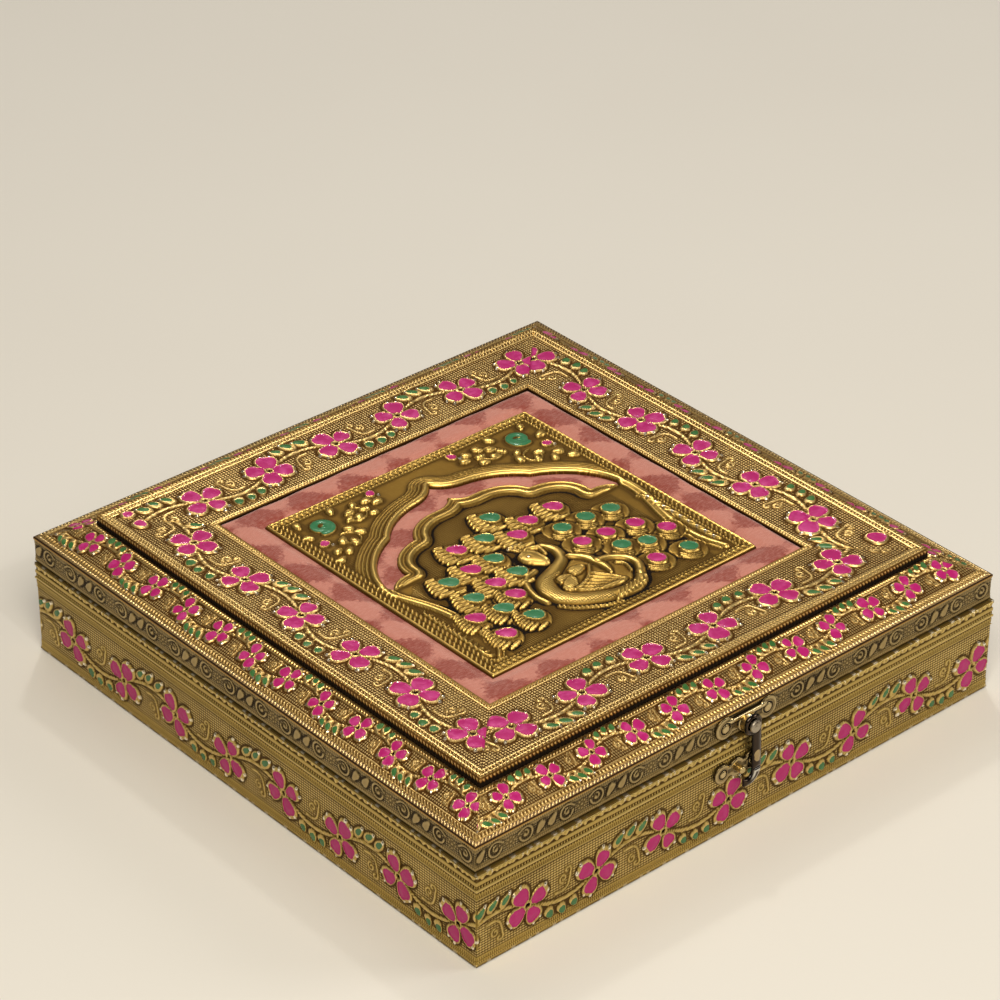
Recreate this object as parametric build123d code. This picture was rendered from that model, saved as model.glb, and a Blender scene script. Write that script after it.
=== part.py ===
"""Square gift box: a wooden tray with a hinged, bevelled lid, both sheathed in embossed brass sheet.

Millimetres, +Z up. The origin is on the floor under the middle of the tray, the latch faces -Y and
the hinges are at +Y. Each sub-part is written to parts/NODE.step.
"""
from build123d import *
import os

os.makedirs("parts", exist_ok=True)

# Tray.
base_width = 254.0
base_depth = 254.0
base_height = 39.5
wall_thickness = 6.0
floor_thickness = 4.0
base_brass = 1.4              # sheet with its embossing
base_relief = 0.8             # how far the raised bands stand out of the field
rim_fold = 5.0                # brass turned over the top of the walls
rim_fold_thickness = 0.5
rim_lip_height = 2.6
foot_band_height = 4.2
ridge_height = 0.9
ridge_pitch = 3.1
ridge_count = 3
underside_thickness = 0.6
underside_inset = 2.0
lining_thickness = 0.8
lining_drop = 1.5             # lining stops this far below the rim

# Lid.
lid_gap = 0.4
lid_side_inset = 0.75
lid_front_inset = 1.5
lid_side_height = 10.8
lid_brass = 1.0
bevel_width = 17.05
bevel_rise = 6.6
bevel_brass = 1.2
rail_foot = 6.4               # wood at the foot of the bevelled rail
rail_foot_height = 6.6
panel_thickness = 5.0

# Raised frame round the velvet.
frame_width = 32.7
frame_step = 3.8
frame_fall = 1.5              # top of the frame drops this much towards the velvet
frame_step_brass = 1.0
frame_top_brass = 1.2
frame_lip_brass = 0.6

# Velvet and plaque.
velvet_thickness = 1.6
plaque_side = 128.8
plaque_thickness = 1.8
plaque_sheet = 0.7
plaque_flange = 2.2
plaque_border = 4.4
arch_margin = 1.2
arch_rise = 46.0
arch_band = 4.0
feather_eye_radius = 4.7
rosette_radius = 5.6
peacock_neck_width = 4.4
peacock_head_radius = 3.6

# Latch.
latch_offset = -1.0           # pivot of the hook, to the left of the middle
latch_pivot_rise = 4.1        # above the lower edge of the lid
latch_plate_thickness = 0.8
latch_eye_radius = 4.2
latch_nail_spacing = 20.6
latch_nail_rise = 1.2         # nails of the upper plate above the pivot
latch_plate_end_radius = 4.6
latch_plate_bar = 6.0
hook_thickness = 1.6
hook_reach = 19.5             # pivot to the middle of the bend
hook_bend_shift = -1.4
hook_bend_radius = 6.2
hook_mouth_radius = 2.6
hook_mouth_shift_x = -0.6
hook_mouth_shift_z = -0.5
hook_tip_reach = 2.1          # middle of the bend to the cut end of the tip
hook_swing_gap = 0.25         # hook tip to catch pin as the lid lifts
catch_drop = 16.7             # pivot down to the catch pin
catch_pin_radius = 1.4
catch_plate_end_radius = 3.8
catch_nail_spacing = 14.2
catch_plate_bar = 4.6
rivet_radius = 1.5
rivet_head_radius = 2.5
rivet_head_height = 1.1
rivet_depth = 3.0             # into the wood
running_clearance = 0.06
seat_clearance = 0.3          # between a moving face and the head it passes

# Nails.
nail_radius = 0.7
nail_head_radius = 1.9
nail_head_height = 0.6
nail_depth = 3.0

# Hinges.
hinge_offset = 72.0
hinge_length = 26.0
hinge_leaf_height = 7.6
hinge_leaf_thickness = 0.8
knuckle_radius = 2.0
knuckle_setback = 0.3
knuckle_gap = 0.2
hinge_pin_radius = 1.0
hinge_pin_head_height = 0.5
hinge_nail_spacing = 16.0

# Derived places.
base_half_width = base_width / 2
base_half_depth = base_depth / 2
wood_half_width = base_half_width - base_brass
wood_half_depth = base_half_depth - base_brass
room_half_width = wood_half_width - wall_thickness
room_half_depth = wood_half_depth - wall_thickness
floor_top = underside_thickness + floor_thickness
wall_top = base_height - rim_fold_thickness

lid_half_width = base_half_width - lid_side_inset
lid_half_depth = base_half_depth - lid_front_inset / 2
lid_middle_y = lid_front_inset / 2
lid_bottom = base_height + lid_gap
arris_height = lid_bottom + lid_side_height
bevel_top = arris_height + bevel_rise
bevel_slope = bevel_rise / bevel_width
panel_top = bevel_top - bevel_brass
panel_bottom = panel_top - panel_thickness
frame_outer_top = bevel_top + frame_step
frame_inner_top = frame_outer_top - frame_fall
frame_end = bevel_width + frame_width
velvet_top = panel_top + velvet_thickness
velvet_half_width = lid_half_width - frame_end
velvet_half_depth = lid_half_depth - frame_end

base_front = -base_half_depth
base_back = base_half_depth
lid_front = lid_middle_y - lid_half_depth
lid_back = lid_middle_y + lid_half_depth

latch_pivot_height = lid_bottom + latch_pivot_rise
hook_tip_x = latch_offset + hook_bend_shift - hook_tip_reach
catch_x = hook_tip_x - hook_swing_gap - catch_pin_radius
catch_z = latch_pivot_height - catch_drop
catch_front = base_front - latch_plate_thickness
hook_back = catch_front - nail_head_height - seat_clearance
hook_front = hook_back - hook_thickness

axis_y = max(base_back, lid_back) + knuckle_setback + knuckle_radius
axis_z = base_height + lid_gap / 2


def write(node, *solids):
    """Write one sub-part, a solid or a group of like solids, to its STEP file."""
    shape = solids[0] if len(solids) == 1 else Compound(children=list(solids))
    shape.label = node
    export_step(shape, f"parts/{node}.step")


def block(x_low, x_high, y_low, y_high, z_low, z_high):
    """A rectangular block between two corners."""
    size = (x_high - x_low, y_high - y_low, z_high - z_low)
    middle = ((x_low + x_high) / 2, (y_low + y_high) / 2, (z_low + z_high) / 2)
    return Pos(*middle) * Box(*size)


def slab(half_width, half_depth, z_low, z_high, middle_y=0.0):
    """A flat board centred on x = 0."""
    return block(-half_width, half_width, middle_y - half_depth, middle_y + half_depth, z_low, z_high)


def disc(radius, x, z, y_near, y_far):
    """A round bar along Y from y_near to y_far."""
    length = abs(y_far - y_near)
    return Pos(x, (y_near + y_far) / 2, z) * Rot(90, 0, 0) * Cylinder(radius, length)


def face_on_front(points):
    """A flat outline in the XZ plane, seen from -Y."""
    return Rot(90, 0, 0) * make_face(Polyline(*points, close=True))


def round_on_front(radius, x, z):
    """A circle in the XZ plane."""
    return Pos(x, 0, z) * Rot(90, 0, 0) * Circle(radius)


def thick_from(sketch, y_back, y_front):
    """Extrude an XZ outline from y_back forward to y_front."""
    solid = extrude(sketch, amount=y_back - y_front, dir=(0, -1, 0))
    return Pos(0, y_back, 0) * solid


def mitred_bar(profile, run_half, face_half):
    """A bar along the -Y side of a rectangle, its ends cut at 45 degrees.

    profile holds (inset, height) points, the inset counted inwards from the side's outer face.
    """
    corners = [(0, inset - face_half, height) for inset, height in profile]
    section = make_face(Polyline(*corners, close=True))
    bar = extrude(section, amount=run_half, dir=(1, 0, 0), both=True)
    reach = max(inset for inset, _ in profile) + 1.0
    low = min(height for _, height in profile) - 1.0
    high = max(height for _, height in profile) + 1.0
    plan = [
        (-run_half, -face_half, low),
        (run_half, -face_half, low),
        (run_half - reach, reach - face_half, low),
        (reach - run_half, reach - face_half, low),
    ]
    keep = extrude(make_face(Polyline(*plan, close=True)), amount=high - low, dir=(0, 0, 1))
    return (bar & keep).solid()


def four_sides(profile, half_width, half_depth, middle_y=0.0):
    """The same bar on the front, right, back and left of a rectangle."""
    bars = {}
    turns = {"front": 0, "right": 90, "back": 180, "left": 270}
    for side, turn in turns.items():
        along_x = side in ("front", "back")
        run_half = half_width if along_x else half_depth
        face_half = half_depth if along_x else half_width
        bars[side] = Pos(0, middle_y, 0) * Rot(0, 0, turn) * mitred_bar(profile, run_half, face_half)
    return bars


def nails(points, y_face, wood_depth, outward):
    """Dome-headed nails through a plate whose outer face is at y_face; outward is -1 or +1."""
    group = []
    for x, z in points:
        shank = disc(nail_radius, x, z, y_face, y_face - outward * wood_depth)
        head = disc(nail_head_radius, x, z, y_face, y_face + outward * nail_head_height)
        rim = head.edges().filter_by(GeomType.CIRCLE).sort_by(Axis.Y)[0 if outward < 0 else -1]
        group.append(shank + fillet(rim, nail_head_height * 0.8))
    return group


def nail_holes(points, y_face, wood_depth, outward):
    """Holes for the same nails, a running clearance wider and deeper."""
    radius = nail_radius + running_clearance
    start = y_face + outward * nail_head_height
    end = y_face - outward * (wood_depth + running_clearance)
    return [disc(radius, x, z, start, end) for x, z in points]


def drill(shape, holes):
    """Cut every hole out of a shape."""
    for hole in holes:
        shape = shape - hole
    return shape.solid()


# Places of the nails.
upper_nail_z = latch_pivot_height + latch_nail_rise
latch_points = [(latch_offset + side * latch_nail_spacing / 2, upper_nail_z) for side in (-1, 1)]
catch_points = [(catch_x + side * catch_nail_spacing / 2, catch_z) for side in (-1, 1)]
hinge_nail_z = knuckle_radius + knuckle_setback + hinge_leaf_height / 2
hinge_xs = [side * hinge_offset + step * hinge_nail_spacing / 2 for side in (-1, 1) for step in (-1, 1)]
base_hinge_points = [(x, axis_z - hinge_nail_z) for x in hinge_xs]
lid_hinge_points = [(x, axis_z + hinge_nail_z) for x in hinge_xs]

latch_nail_depth = latch_plate_thickness + lid_brass + nail_depth
catch_nail_depth = latch_plate_thickness + base_brass + nail_depth
base_hinge_depth = hinge_leaf_thickness + base_brass + nail_depth
lid_hinge_depth = hinge_leaf_thickness + lid_brass + nail_depth

latch_face = lid_front - latch_plate_thickness
rivet_end = lid_front + lid_brass + rivet_depth
latch_holes = nail_holes(latch_points, latch_face, latch_nail_depth, -1)
catch_holes = nail_holes(catch_points, catch_front, catch_nail_depth, -1)
base_hinge_holes = nail_holes(base_hinge_points, base_back + hinge_leaf_thickness, base_hinge_depth, 1)
lid_hinge_holes = nail_holes(lid_hinge_points, lid_back + hinge_leaf_thickness, lid_hinge_depth, 1)
rivet_hole = disc(rivet_radius + running_clearance, latch_offset, latch_pivot_height,
                  hook_front, rivet_end + running_clearance)
pin_end = base_front + base_brass + nail_depth
pin_hole = disc(catch_pin_radius + running_clearance, catch_x, catch_z, catch_front, pin_end + running_clearance)


def build_tray():
    """Floor, walls, linings and the sheet under the tray."""
    write("underside_sheet", slab(base_half_width - underside_inset, base_half_depth - underside_inset,
                                  0, underside_thickness))
    write("base_floor_board", slab(room_half_width, room_half_depth, underside_thickness, floor_top))
    z_low = underside_thickness
    front = block(-wood_half_width, wood_half_width, -wood_half_depth, -room_half_depth, z_low, wall_top)
    back = block(-wood_half_width, wood_half_width, room_half_depth, wood_half_depth, z_low, wall_top)
    side = block(room_half_width, wood_half_width, -room_half_depth, room_half_depth, z_low, wall_top)
    write("base_front_wall", drill(front, catch_holes + [pin_hole]))
    write("base_back_wall", drill(back, base_hinge_holes))
    write("base_right_wall", side)
    write("base_left_wall", mirror(side, about=Plane.YZ))

    lining_low = floor_top + lining_thickness
    lining_high = base_height - lining_drop
    near = room_half_depth - lining_thickness
    write("base_floor_lining", slab(room_half_width, room_half_depth, floor_top, lining_low))
    strip = block(-room_half_width, room_half_width, -room_half_depth, -near, lining_low, lining_high)
    write("base_front_lining", strip)
    write("base_back_lining", mirror(strip, about=Plane.XZ))
    strip = block(room_half_width - lining_thickness, room_half_width, -near, near, lining_low, lining_high)
    write("base_right_lining", strip)
    write("base_left_lining", mirror(strip, about=Plane.YZ))


def base_cladding_profile():
    """Section of the tray's brass: foot band, sunk field, ridges, lip and the fold over the rim."""
    low = underside_thickness
    points = [(0, low), (0, low + foot_band_height), (base_relief, low + foot_band_height)]
    lip_low = base_height - rim_lip_height
    for number in range(ridge_count, 0, -1):
        ridge_low = lip_low - number * ridge_pitch + (ridge_pitch - ridge_height) / 2
        ridge_high = ridge_low + ridge_height
        points += [(base_relief, ridge_low), (0, ridge_low), (0, ridge_high), (base_relief, ridge_high)]
    points += [(base_relief, lip_low), (0, lip_low), (0, base_height), (rim_fold, base_height)]
    points += [(rim_fold, wall_top), (base_brass, wall_top), (base_brass, low)]
    return points


def build_base_claddings():
    """Embossed brass sheets on the four sides of the tray."""
    sheets = four_sides(base_cladding_profile(), base_half_width, base_half_depth)
    sheets["front"] = drill(sheets["front"], catch_holes + [pin_hole])
    sheets["back"] = drill(sheets["back"], base_hinge_holes)
    for side, sheet in sheets.items():
        write(f"base_{side}_cladding", sheet)


def build_lid_wood():
    """Bevelled rails, the panel between them and the lining under it."""
    wood_arris = arris_height - bevel_brass + bevel_slope * lid_brass
    foot_end = lid_brass + rail_foot
    profile = [
        (lid_brass, lid_bottom),
        (foot_end, lid_bottom),
        (foot_end, lid_bottom + rail_foot_height),
        (bevel_width, panel_bottom),
        (bevel_width, panel_top),
        (lid_brass, wood_arris),
    ]
    rails = four_sides(profile, lid_half_width, lid_half_depth, lid_middle_y)
    rails["front"] = drill(rails["front"], latch_holes + [rivet_hole])
    rails["back"] = drill(rails["back"], lid_hinge_holes)
    for side, rail in rails.items():
        write(f"lid_{side}_rail", rail)
    half_width = lid_half_width - bevel_width
    half_depth = lid_half_depth - bevel_width
    write("lid_panel", slab(half_width, half_depth, panel_bottom, panel_top, lid_middle_y))
    write("lid_lining", slab(half_width, half_depth, panel_bottom - lining_thickness, panel_bottom,
                             lid_middle_y))


def build_lid_claddings():
    """Brass on the lid's upright sides and on its bevels."""
    wood_edge = arris_height - bevel_brass
    side_profile = [
        (0, lid_bottom),
        (lid_brass, lid_bottom),
        (lid_brass, wood_edge + bevel_slope * lid_brass),
        (0, wood_edge),
    ]
    sheets = four_sides(side_profile, lid_half_width, lid_half_depth, lid_middle_y)
    sheets["front"] = drill(sheets["front"], latch_holes + [rivet_hole])
    sheets["back"] = drill(sheets["back"], lid_hinge_holes)
    for side, sheet in sheets.items():
        write(f"lid_{side}_cladding", sheet)
    bevel_profile = [(0, wood_edge), (bevel_width, panel_top), (bevel_width, bevel_top), (0, arris_height)]
    for side, sheet in four_sides(bevel_profile, lid_half_width, lid_half_depth, lid_middle_y).items():
        write(f"bevel_{side}_cladding", sheet)


def build_frame():
    """The raised frame: a wooden lath and a brass channel over it on each side."""
    lath_start = bevel_width + frame_step_brass
    lath_end = frame_end - frame_lip_brass
    outer_wood = frame_outer_top - frame_top_brass
    inner_wood = frame_inner_top - frame_top_brass
    lath = [(lath_start, panel_top), (lath_end, panel_top), (lath_end, inner_wood), (lath_start, outer_wood)]
    for side, bar in four_sides(lath, lid_half_width, lid_half_depth, lid_middle_y).items():
        write(f"frame_{side}_lath", bar)
    channel = [
        (bevel_width, panel_top),
        (lath_start, panel_top),
        (lath_start, outer_wood),
        (lath_end, inner_wood),
        (lath_end, panel_top),
        (frame_end, panel_top),
        (frame_end, frame_inner_top),
        (bevel_width, frame_outer_top),
    ]
    for side, bar in four_sides(channel, lid_half_width, lid_half_depth, lid_middle_y).items():
        write(f"frame_{side}_cladding", bar)


def arch(points, half_width, rise):
    """A symmetric cusped arch, closed along its foot.

    points holds the left half from foot to apex as (start, middle, end) arcs in units of the half
    width and the rise.
    """
    edges = []
    for start, middle, end in points:
        left = [(-x * half_width, y * rise) for x, y in (start, middle, end)]
        right = [(-x, y) for x, y in reversed(left)]
        edges.append(ThreePointArc(*left))
        edges.append(ThreePointArc(*right))
    foot_x, foot_y = points[0][0]
    edges.append(Line((foot_x * half_width, foot_y * rise), (-foot_x * half_width, foot_y * rise)))
    return make_face(Wire(edges))


# Arcs of the two cusped arches: distance from the middle in half widths, height in rises.
OUTER_ARCH = [
    ((1.00, 0.07), (0.90, 0.33), (0.61, 0.60)),
    ((0.61, 0.60), (0.44, 0.77), (0.21, 0.86)),
    ((0.21, 0.86), (0.09, 0.905), (0.00, 1.00)),
]
INNER_ARCH = [
    ((0.98, 0.00), (0.90, 0.09), (0.80, 0.11)),
    ((0.80, 0.11), (0.72, 0.35), (0.50, 0.46)),
    ((0.50, 0.46), (0.37, 0.63), (0.16, 0.68)),
    ((0.16, 0.68), (0.07, 0.70), (0.00, 0.78)),
]


# Places of the raised ornament, from the middle of the plaque in half sides.
FEATHER_EYES = [
    (0.04, 0.22), (-0.13, 0.07), (-0.33, 0.08), (0.19, 0.06), (0.40, 0.07), (0.04, -0.02),
    (-0.58, -0.15), (-0.40, -0.13), (-0.22, -0.12), (0.29, -0.13), (0.47, -0.13), (0.64, -0.16),
    (-0.57, -0.36), (-0.38, -0.32), (-0.21, -0.31), (0.28, -0.32), (0.45, -0.33), (0.64, -0.37),
    (-0.70, -0.51), (-0.51, -0.54), (-0.37, -0.48), (0.43, -0.49), (0.57, -0.55), (0.75, -0.52),
    (-0.67, -0.74), (-0.43, -0.70), (0.48, -0.72), (0.71, -0.75),
]
ROSETTES = [(0.755, 0.785), (0.51, 0.78), (0.66, 0.58)]
BRACKET = [(0.90, -0.04), (0.85, -0.16), (0.78, -0.36), (0.76, -0.60), (0.80, -0.90), (0.90, -0.90)]
BODY_OUTER = ((0.02, -0.58), 0.34)
BODY_INNER = ((0.06, -0.59), 0.255)
SHOULDER = -0.46
WING = ((0.055, -0.67), 0.13, 0.09)
HEAD = (-0.055, -0.27)
NECK = [((-0.19, -0.475), (-0.02, -0.42), (0.10, -0.35)), ((0.10, -0.35), (0.145, -0.255), (0.07, -0.185))]


def plaque_ornament(half):
    """Flat outline of the peacock, the eyes of its tail, the corner rosettes and the side brackets."""
    def disc_at(place, radius):
        """A round face at a place given in half sides."""
        return Pos(place[0] * half, place[1] * half) * Circle(radius)

    raised = disc_at(BODY_OUTER[0], BODY_OUTER[1] * half) - disc_at(BODY_INNER[0], BODY_INNER[1] * half)
    raised = raised - Pos(0, (SHOULDER + 1) * half) * Rectangle(2 * half, 2 * half)
    (wing_x, wing_y), wing_length, wing_width = WING
    wing = Ellipse(wing_length * half, wing_width * half)
    raised = raised + Pos(wing_x * half, wing_y * half) * wing
    for bend in NECK:
        line = ThreePointArc(*[(x * half, y * half) for x, y in bend])
        raised = raised + trace(line, peacock_neck_width)
    raised = raised + disc_at(HEAD, peacock_head_radius)
    for place in FEATHER_EYES:
        raised = raised + disc_at(place, feather_eye_radius)
    for side in (-1, 1):
        for x, y in ROSETTES:
            raised = raised + disc_at((side * x, y), rosette_radius)
        corners = [(side * x * half, y * half) for x, y in BRACKET]
        raised = raised + make_face(Polyline(*corners, close=True))
    return raised


def build_velvet_and_plaque():
    """The velvet in the frame and the arched plaque on it."""
    write("velvet_panel", slab(velvet_half_width, velvet_half_depth, panel_top, velvet_top, lid_middle_y))
    half = plaque_side / 2
    arch_half = half - plaque_flange - plaque_border - arch_margin
    outer = arch(OUTER_ARCH, arch_half, arch_rise)
    inner = arch(INNER_ARCH, arch_half, arch_rise)
    foot_cut = Pos(0, INNER_ARCH[0][0][1] * arch_rise - half) * Rectangle(plaque_side, plaque_side)
    window = outer - inner - foot_cut
    sheet = extrude(Rectangle(plaque_side, plaque_side) - window, amount=plaque_sheet)

    relief = plaque_thickness - plaque_sheet
    inside = plaque_side - 2 * plaque_flange
    opening = inside - 2 * plaque_border
    border = Rectangle(inside, inside) - Rectangle(opening, opening)
    crown = (arch_rise + arch_band) / arch_rise
    outer_band = arch(OUTER_ARCH, arch_half, arch_rise * crown) - outer
    inner_band = inner - arch(INNER_ARCH, arch_half - arch_band, arch_rise / crown)
    raised = border + (outer_band & Rectangle(opening, opening)) + inner_band
    raised = raised - foot_cut + border + plaque_ornament(half)
    plaque = sheet + Pos(0, 0, plaque_sheet) * extrude(raised - window, amount=relief)
    write("plaque", Pos(0, lid_middle_y, velvet_top) * plaque.solid())


def lobed_plate(x, z, nail_xs, nail_z, end_radius, middle_radius, bar_height):
    """Outline of a latch plate: a bar with a round lobe at each nail and one in the middle."""
    left, right = nail_xs
    outline = Pos((left + right) / 2, 0, nail_z) * Rot(90, 0, 0) * Rectangle(right - left, bar_height)
    for nail_x in nail_xs:
        outline = outline + round_on_front(end_radius, nail_x, nail_z)
    return outline + round_on_front(middle_radius, x, z)


def hook_outline():
    """The swinging hook: an eye, an arm and a bend that opens towards the catch pin."""
    x, z = latch_offset, latch_pivot_height
    bend_x = x + hook_bend_shift
    bend_z = z - hook_reach
    outer_x = bend_x + hook_bend_radius
    mouth_x = bend_x + hook_mouth_shift_x
    mouth_z = bend_z + hook_mouth_shift_z
    inner_x = mouth_x + hook_mouth_radius
    arm = face_on_front([
        (x, z - latch_eye_radius * 0.7),
        (x + latch_eye_radius * 0.98, z - latch_eye_radius * 0.2),
        (outer_x, bend_z),
        (inner_x, bend_z),
    ])
    box_half = hook_bend_radius * 2
    lower = Pos(bend_x, 0, bend_z - box_half) * Rot(90, 0, 0) * Rectangle(2 * box_half, 2 * box_half)
    bend = round_on_front(hook_bend_radius, bend_x, bend_z) & lower
    beyond_tip = Pos(hook_tip_x - box_half, 0, bend_z) * Rot(90, 0, 0) * Rectangle(2 * box_half, 2 * box_half)
    outline = round_on_front(latch_eye_radius, x, z) + arm + bend
    outline = outline - round_on_front(hook_mouth_radius, mouth_x, mouth_z) - beyond_tip
    return outline - round_on_front(rivet_radius + running_clearance, x, z)


def build_latch():
    """Plates, nails, rivet, catch pin and the swinging hook."""
    x, z = latch_offset, latch_pivot_height
    plate = lobed_plate(x, z, [point[0] for point in latch_points], upper_nail_z,
                        latch_plate_end_radius, latch_eye_radius, latch_plate_bar)
    plate = thick_from(plate, lid_front, latch_face)
    write("latch_plate", drill(plate, latch_holes + [rivet_hole]))
    write("latch_nails", *nails(latch_points, latch_face, latch_nail_depth, -1))

    washer = disc(latch_eye_radius * 0.9, x, z, latch_face, hook_back + running_clearance)
    write("latch_washer", drill(washer, [rivet_hole]))
    shank = disc(rivet_radius, x, z, rivet_end, hook_front - running_clearance)
    head_back = hook_front - running_clearance
    head = disc(rivet_head_radius, x, z, head_back, head_back - rivet_head_height)
    rim = head.edges().filter_by(GeomType.CIRCLE).sort_by(Axis.Y)[0]
    write("latch_rivet", (shank + fillet(rim, rivet_head_height * 0.8)).solid())

    write("latch_hook", thick_from(hook_outline(), hook_back, hook_front).solid())

    plate = lobed_plate(catch_x, catch_z, [point[0] for point in catch_points], catch_z,
                        catch_plate_end_radius, catch_plate_end_radius, catch_plate_bar)
    plate = thick_from(plate, base_front, catch_front)
    write("catch_plate", drill(plate, catch_holes + [pin_hole]))
    write("catch_nails", *nails(catch_points, catch_front, catch_nail_depth, -1))
    pin = disc(catch_pin_radius, catch_x, catch_z, pin_end, hook_front - seat_clearance)
    rim = pin.edges().filter_by(GeomType.CIRCLE).sort_by(Axis.Y)[0]
    write("catch_pin", fillet(rim, catch_pin_radius * 0.4))


def knuckle(x_low, x_high):
    """One barrel of a hinge, without its bore."""
    length = x_high - x_low
    return Pos((x_low + x_high) / 2, axis_y, axis_z) * Rot(0, 90, 0) * Cylinder(knuckle_radius, length)


def hinge_leaf(middle_x, face_y, upward, knuckles, points):
    """A hinge leaf on a back face: a plate, and for each knuckle a tongue that reaches the barrel."""
    clear = knuckle_radius + knuckle_setback
    near = axis_z + upward * clear
    far = near + upward * hinge_leaf_height
    outer_y = face_y + hinge_leaf_thickness
    half = hinge_length / 2
    leaf = block(middle_x - half, middle_x + half, face_y, outer_y, min(near, far), max(near, far))
    for x_low, x_high in knuckles:
        tongue = block(x_low, x_high, face_y, outer_y, min(near, axis_z), max(near, axis_z))
        root = block(x_low, x_high, face_y, axis_y, axis_z - hinge_leaf_thickness / 2,
                     axis_z + hinge_leaf_thickness / 2)
        leaf = leaf + tongue + root + knuckle(x_low, x_high)
    bore_radius = hinge_pin_radius + running_clearance
    bore = Pos(middle_x, axis_y, axis_z) * Rot(0, 90, 0) * Cylinder(bore_radius, hinge_length + 2)
    return drill(leaf - bore, points)


def build_hinges():
    """Two butt hinges on the back faces, their pins and their nails."""
    for name, side in (("left", -1), ("right", 1)):
        middle = side * hinge_offset
        half = hinge_length / 2
        sixth = hinge_length / 6
        outer = [(middle - half, middle - sixth), (middle + sixth, middle + half)]
        inner = [(middle - sixth + knuckle_gap, middle + sixth - knuckle_gap)]
        write(f"hinge_{name}_base_leaf", hinge_leaf(middle, base_back, -1, outer, base_hinge_holes))
        write(f"hinge_{name}_lid_leaf", hinge_leaf(middle, lid_back, 1, inner, lid_hinge_holes))
        pin_length = hinge_length + 2 * hinge_pin_head_height
        pin = Pos(middle, axis_y, axis_z) * Rot(0, 90, 0) * Cylinder(hinge_pin_radius, pin_length)
        for end in (-1, 1):
            head_x = middle + end * (half + hinge_pin_head_height / 2 + running_clearance)
            head = Cylinder(knuckle_radius * 0.8, hinge_pin_head_height)
            pin = pin + Pos(head_x, axis_y, axis_z) * Rot(0, 90, 0) * head
        write(f"hinge_{name}_pin", pin.solid())
    base_face = base_back + hinge_leaf_thickness
    lid_face = lid_back + hinge_leaf_thickness
    write("base_hinge_nails", *nails(base_hinge_points, base_face, base_hinge_depth, 1))
    write("lid_hinge_nails", *nails(lid_hinge_points, lid_face, lid_hinge_depth, 1))


build_tray()
build_base_claddings()
build_lid_wood()
build_lid_claddings()
build_frame()
build_velvet_and_plaque()
build_latch()
build_hinges()
print(f"hinge axis y {axis_y:.3f} z {axis_z:.3f}; hook pivot x {latch_offset:.3f} z {latch_pivot_height:.3f}")
print(f"hook front y {hook_front:.3f}; catch pin x {catch_x:.3f} z {catch_z:.3f}")
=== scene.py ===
"""Dresses a square sweet box sheathed in embossed, painted and antiqued brass.

Sizes are worked in millimetres and put into meshes in metres.  The relief of every sheet is a height
field on a grid: rows run across the ornament, columns run along it.
"""

import logging
import math
from dataclasses import dataclass, field, replace
from enum import Enum
from typing import Any, Callable, Optional, Sequence, Union

import bpy
import numpy as np
from mathutils import Matrix, Vector
from mathutils.geometry import delaunay_2d_cdt


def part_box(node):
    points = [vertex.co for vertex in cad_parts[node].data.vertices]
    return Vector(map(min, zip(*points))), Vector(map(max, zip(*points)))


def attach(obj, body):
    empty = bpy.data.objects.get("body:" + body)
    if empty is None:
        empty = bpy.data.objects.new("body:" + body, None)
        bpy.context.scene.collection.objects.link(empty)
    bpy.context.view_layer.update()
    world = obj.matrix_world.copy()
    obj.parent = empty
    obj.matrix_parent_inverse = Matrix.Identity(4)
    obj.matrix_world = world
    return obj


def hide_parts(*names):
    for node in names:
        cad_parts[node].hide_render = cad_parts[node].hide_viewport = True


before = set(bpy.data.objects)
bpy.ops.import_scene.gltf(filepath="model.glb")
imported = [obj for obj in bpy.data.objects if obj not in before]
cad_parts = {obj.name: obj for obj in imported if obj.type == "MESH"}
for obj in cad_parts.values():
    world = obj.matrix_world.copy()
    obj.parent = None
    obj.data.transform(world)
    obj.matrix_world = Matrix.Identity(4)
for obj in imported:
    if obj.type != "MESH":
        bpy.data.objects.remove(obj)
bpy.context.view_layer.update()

MM = 0.001
UV_MM = 100.0  # millimetres to one unit of a UV map
TURN = 2 * math.pi
COLUMN = 0.32  # grid step along a strip, mm
FAR = 1e9  # further than anything on a sheet, mm
GROUP = 12  # spans of a path that are measured at a time
SOFT = 0.3  # width of a band's soft edge, mm
LOG = logging.getLogger("sweet_box")

Array = np.ndarray
Triple = tuple[float, float, float]
Colour = Triple
Place = tuple[float, float]
Distance = Callable[[Array, Array], Array]
Material = bpy.types.Material
Socket = bpy.types.NodeSocket


# Shader helpers.

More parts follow.
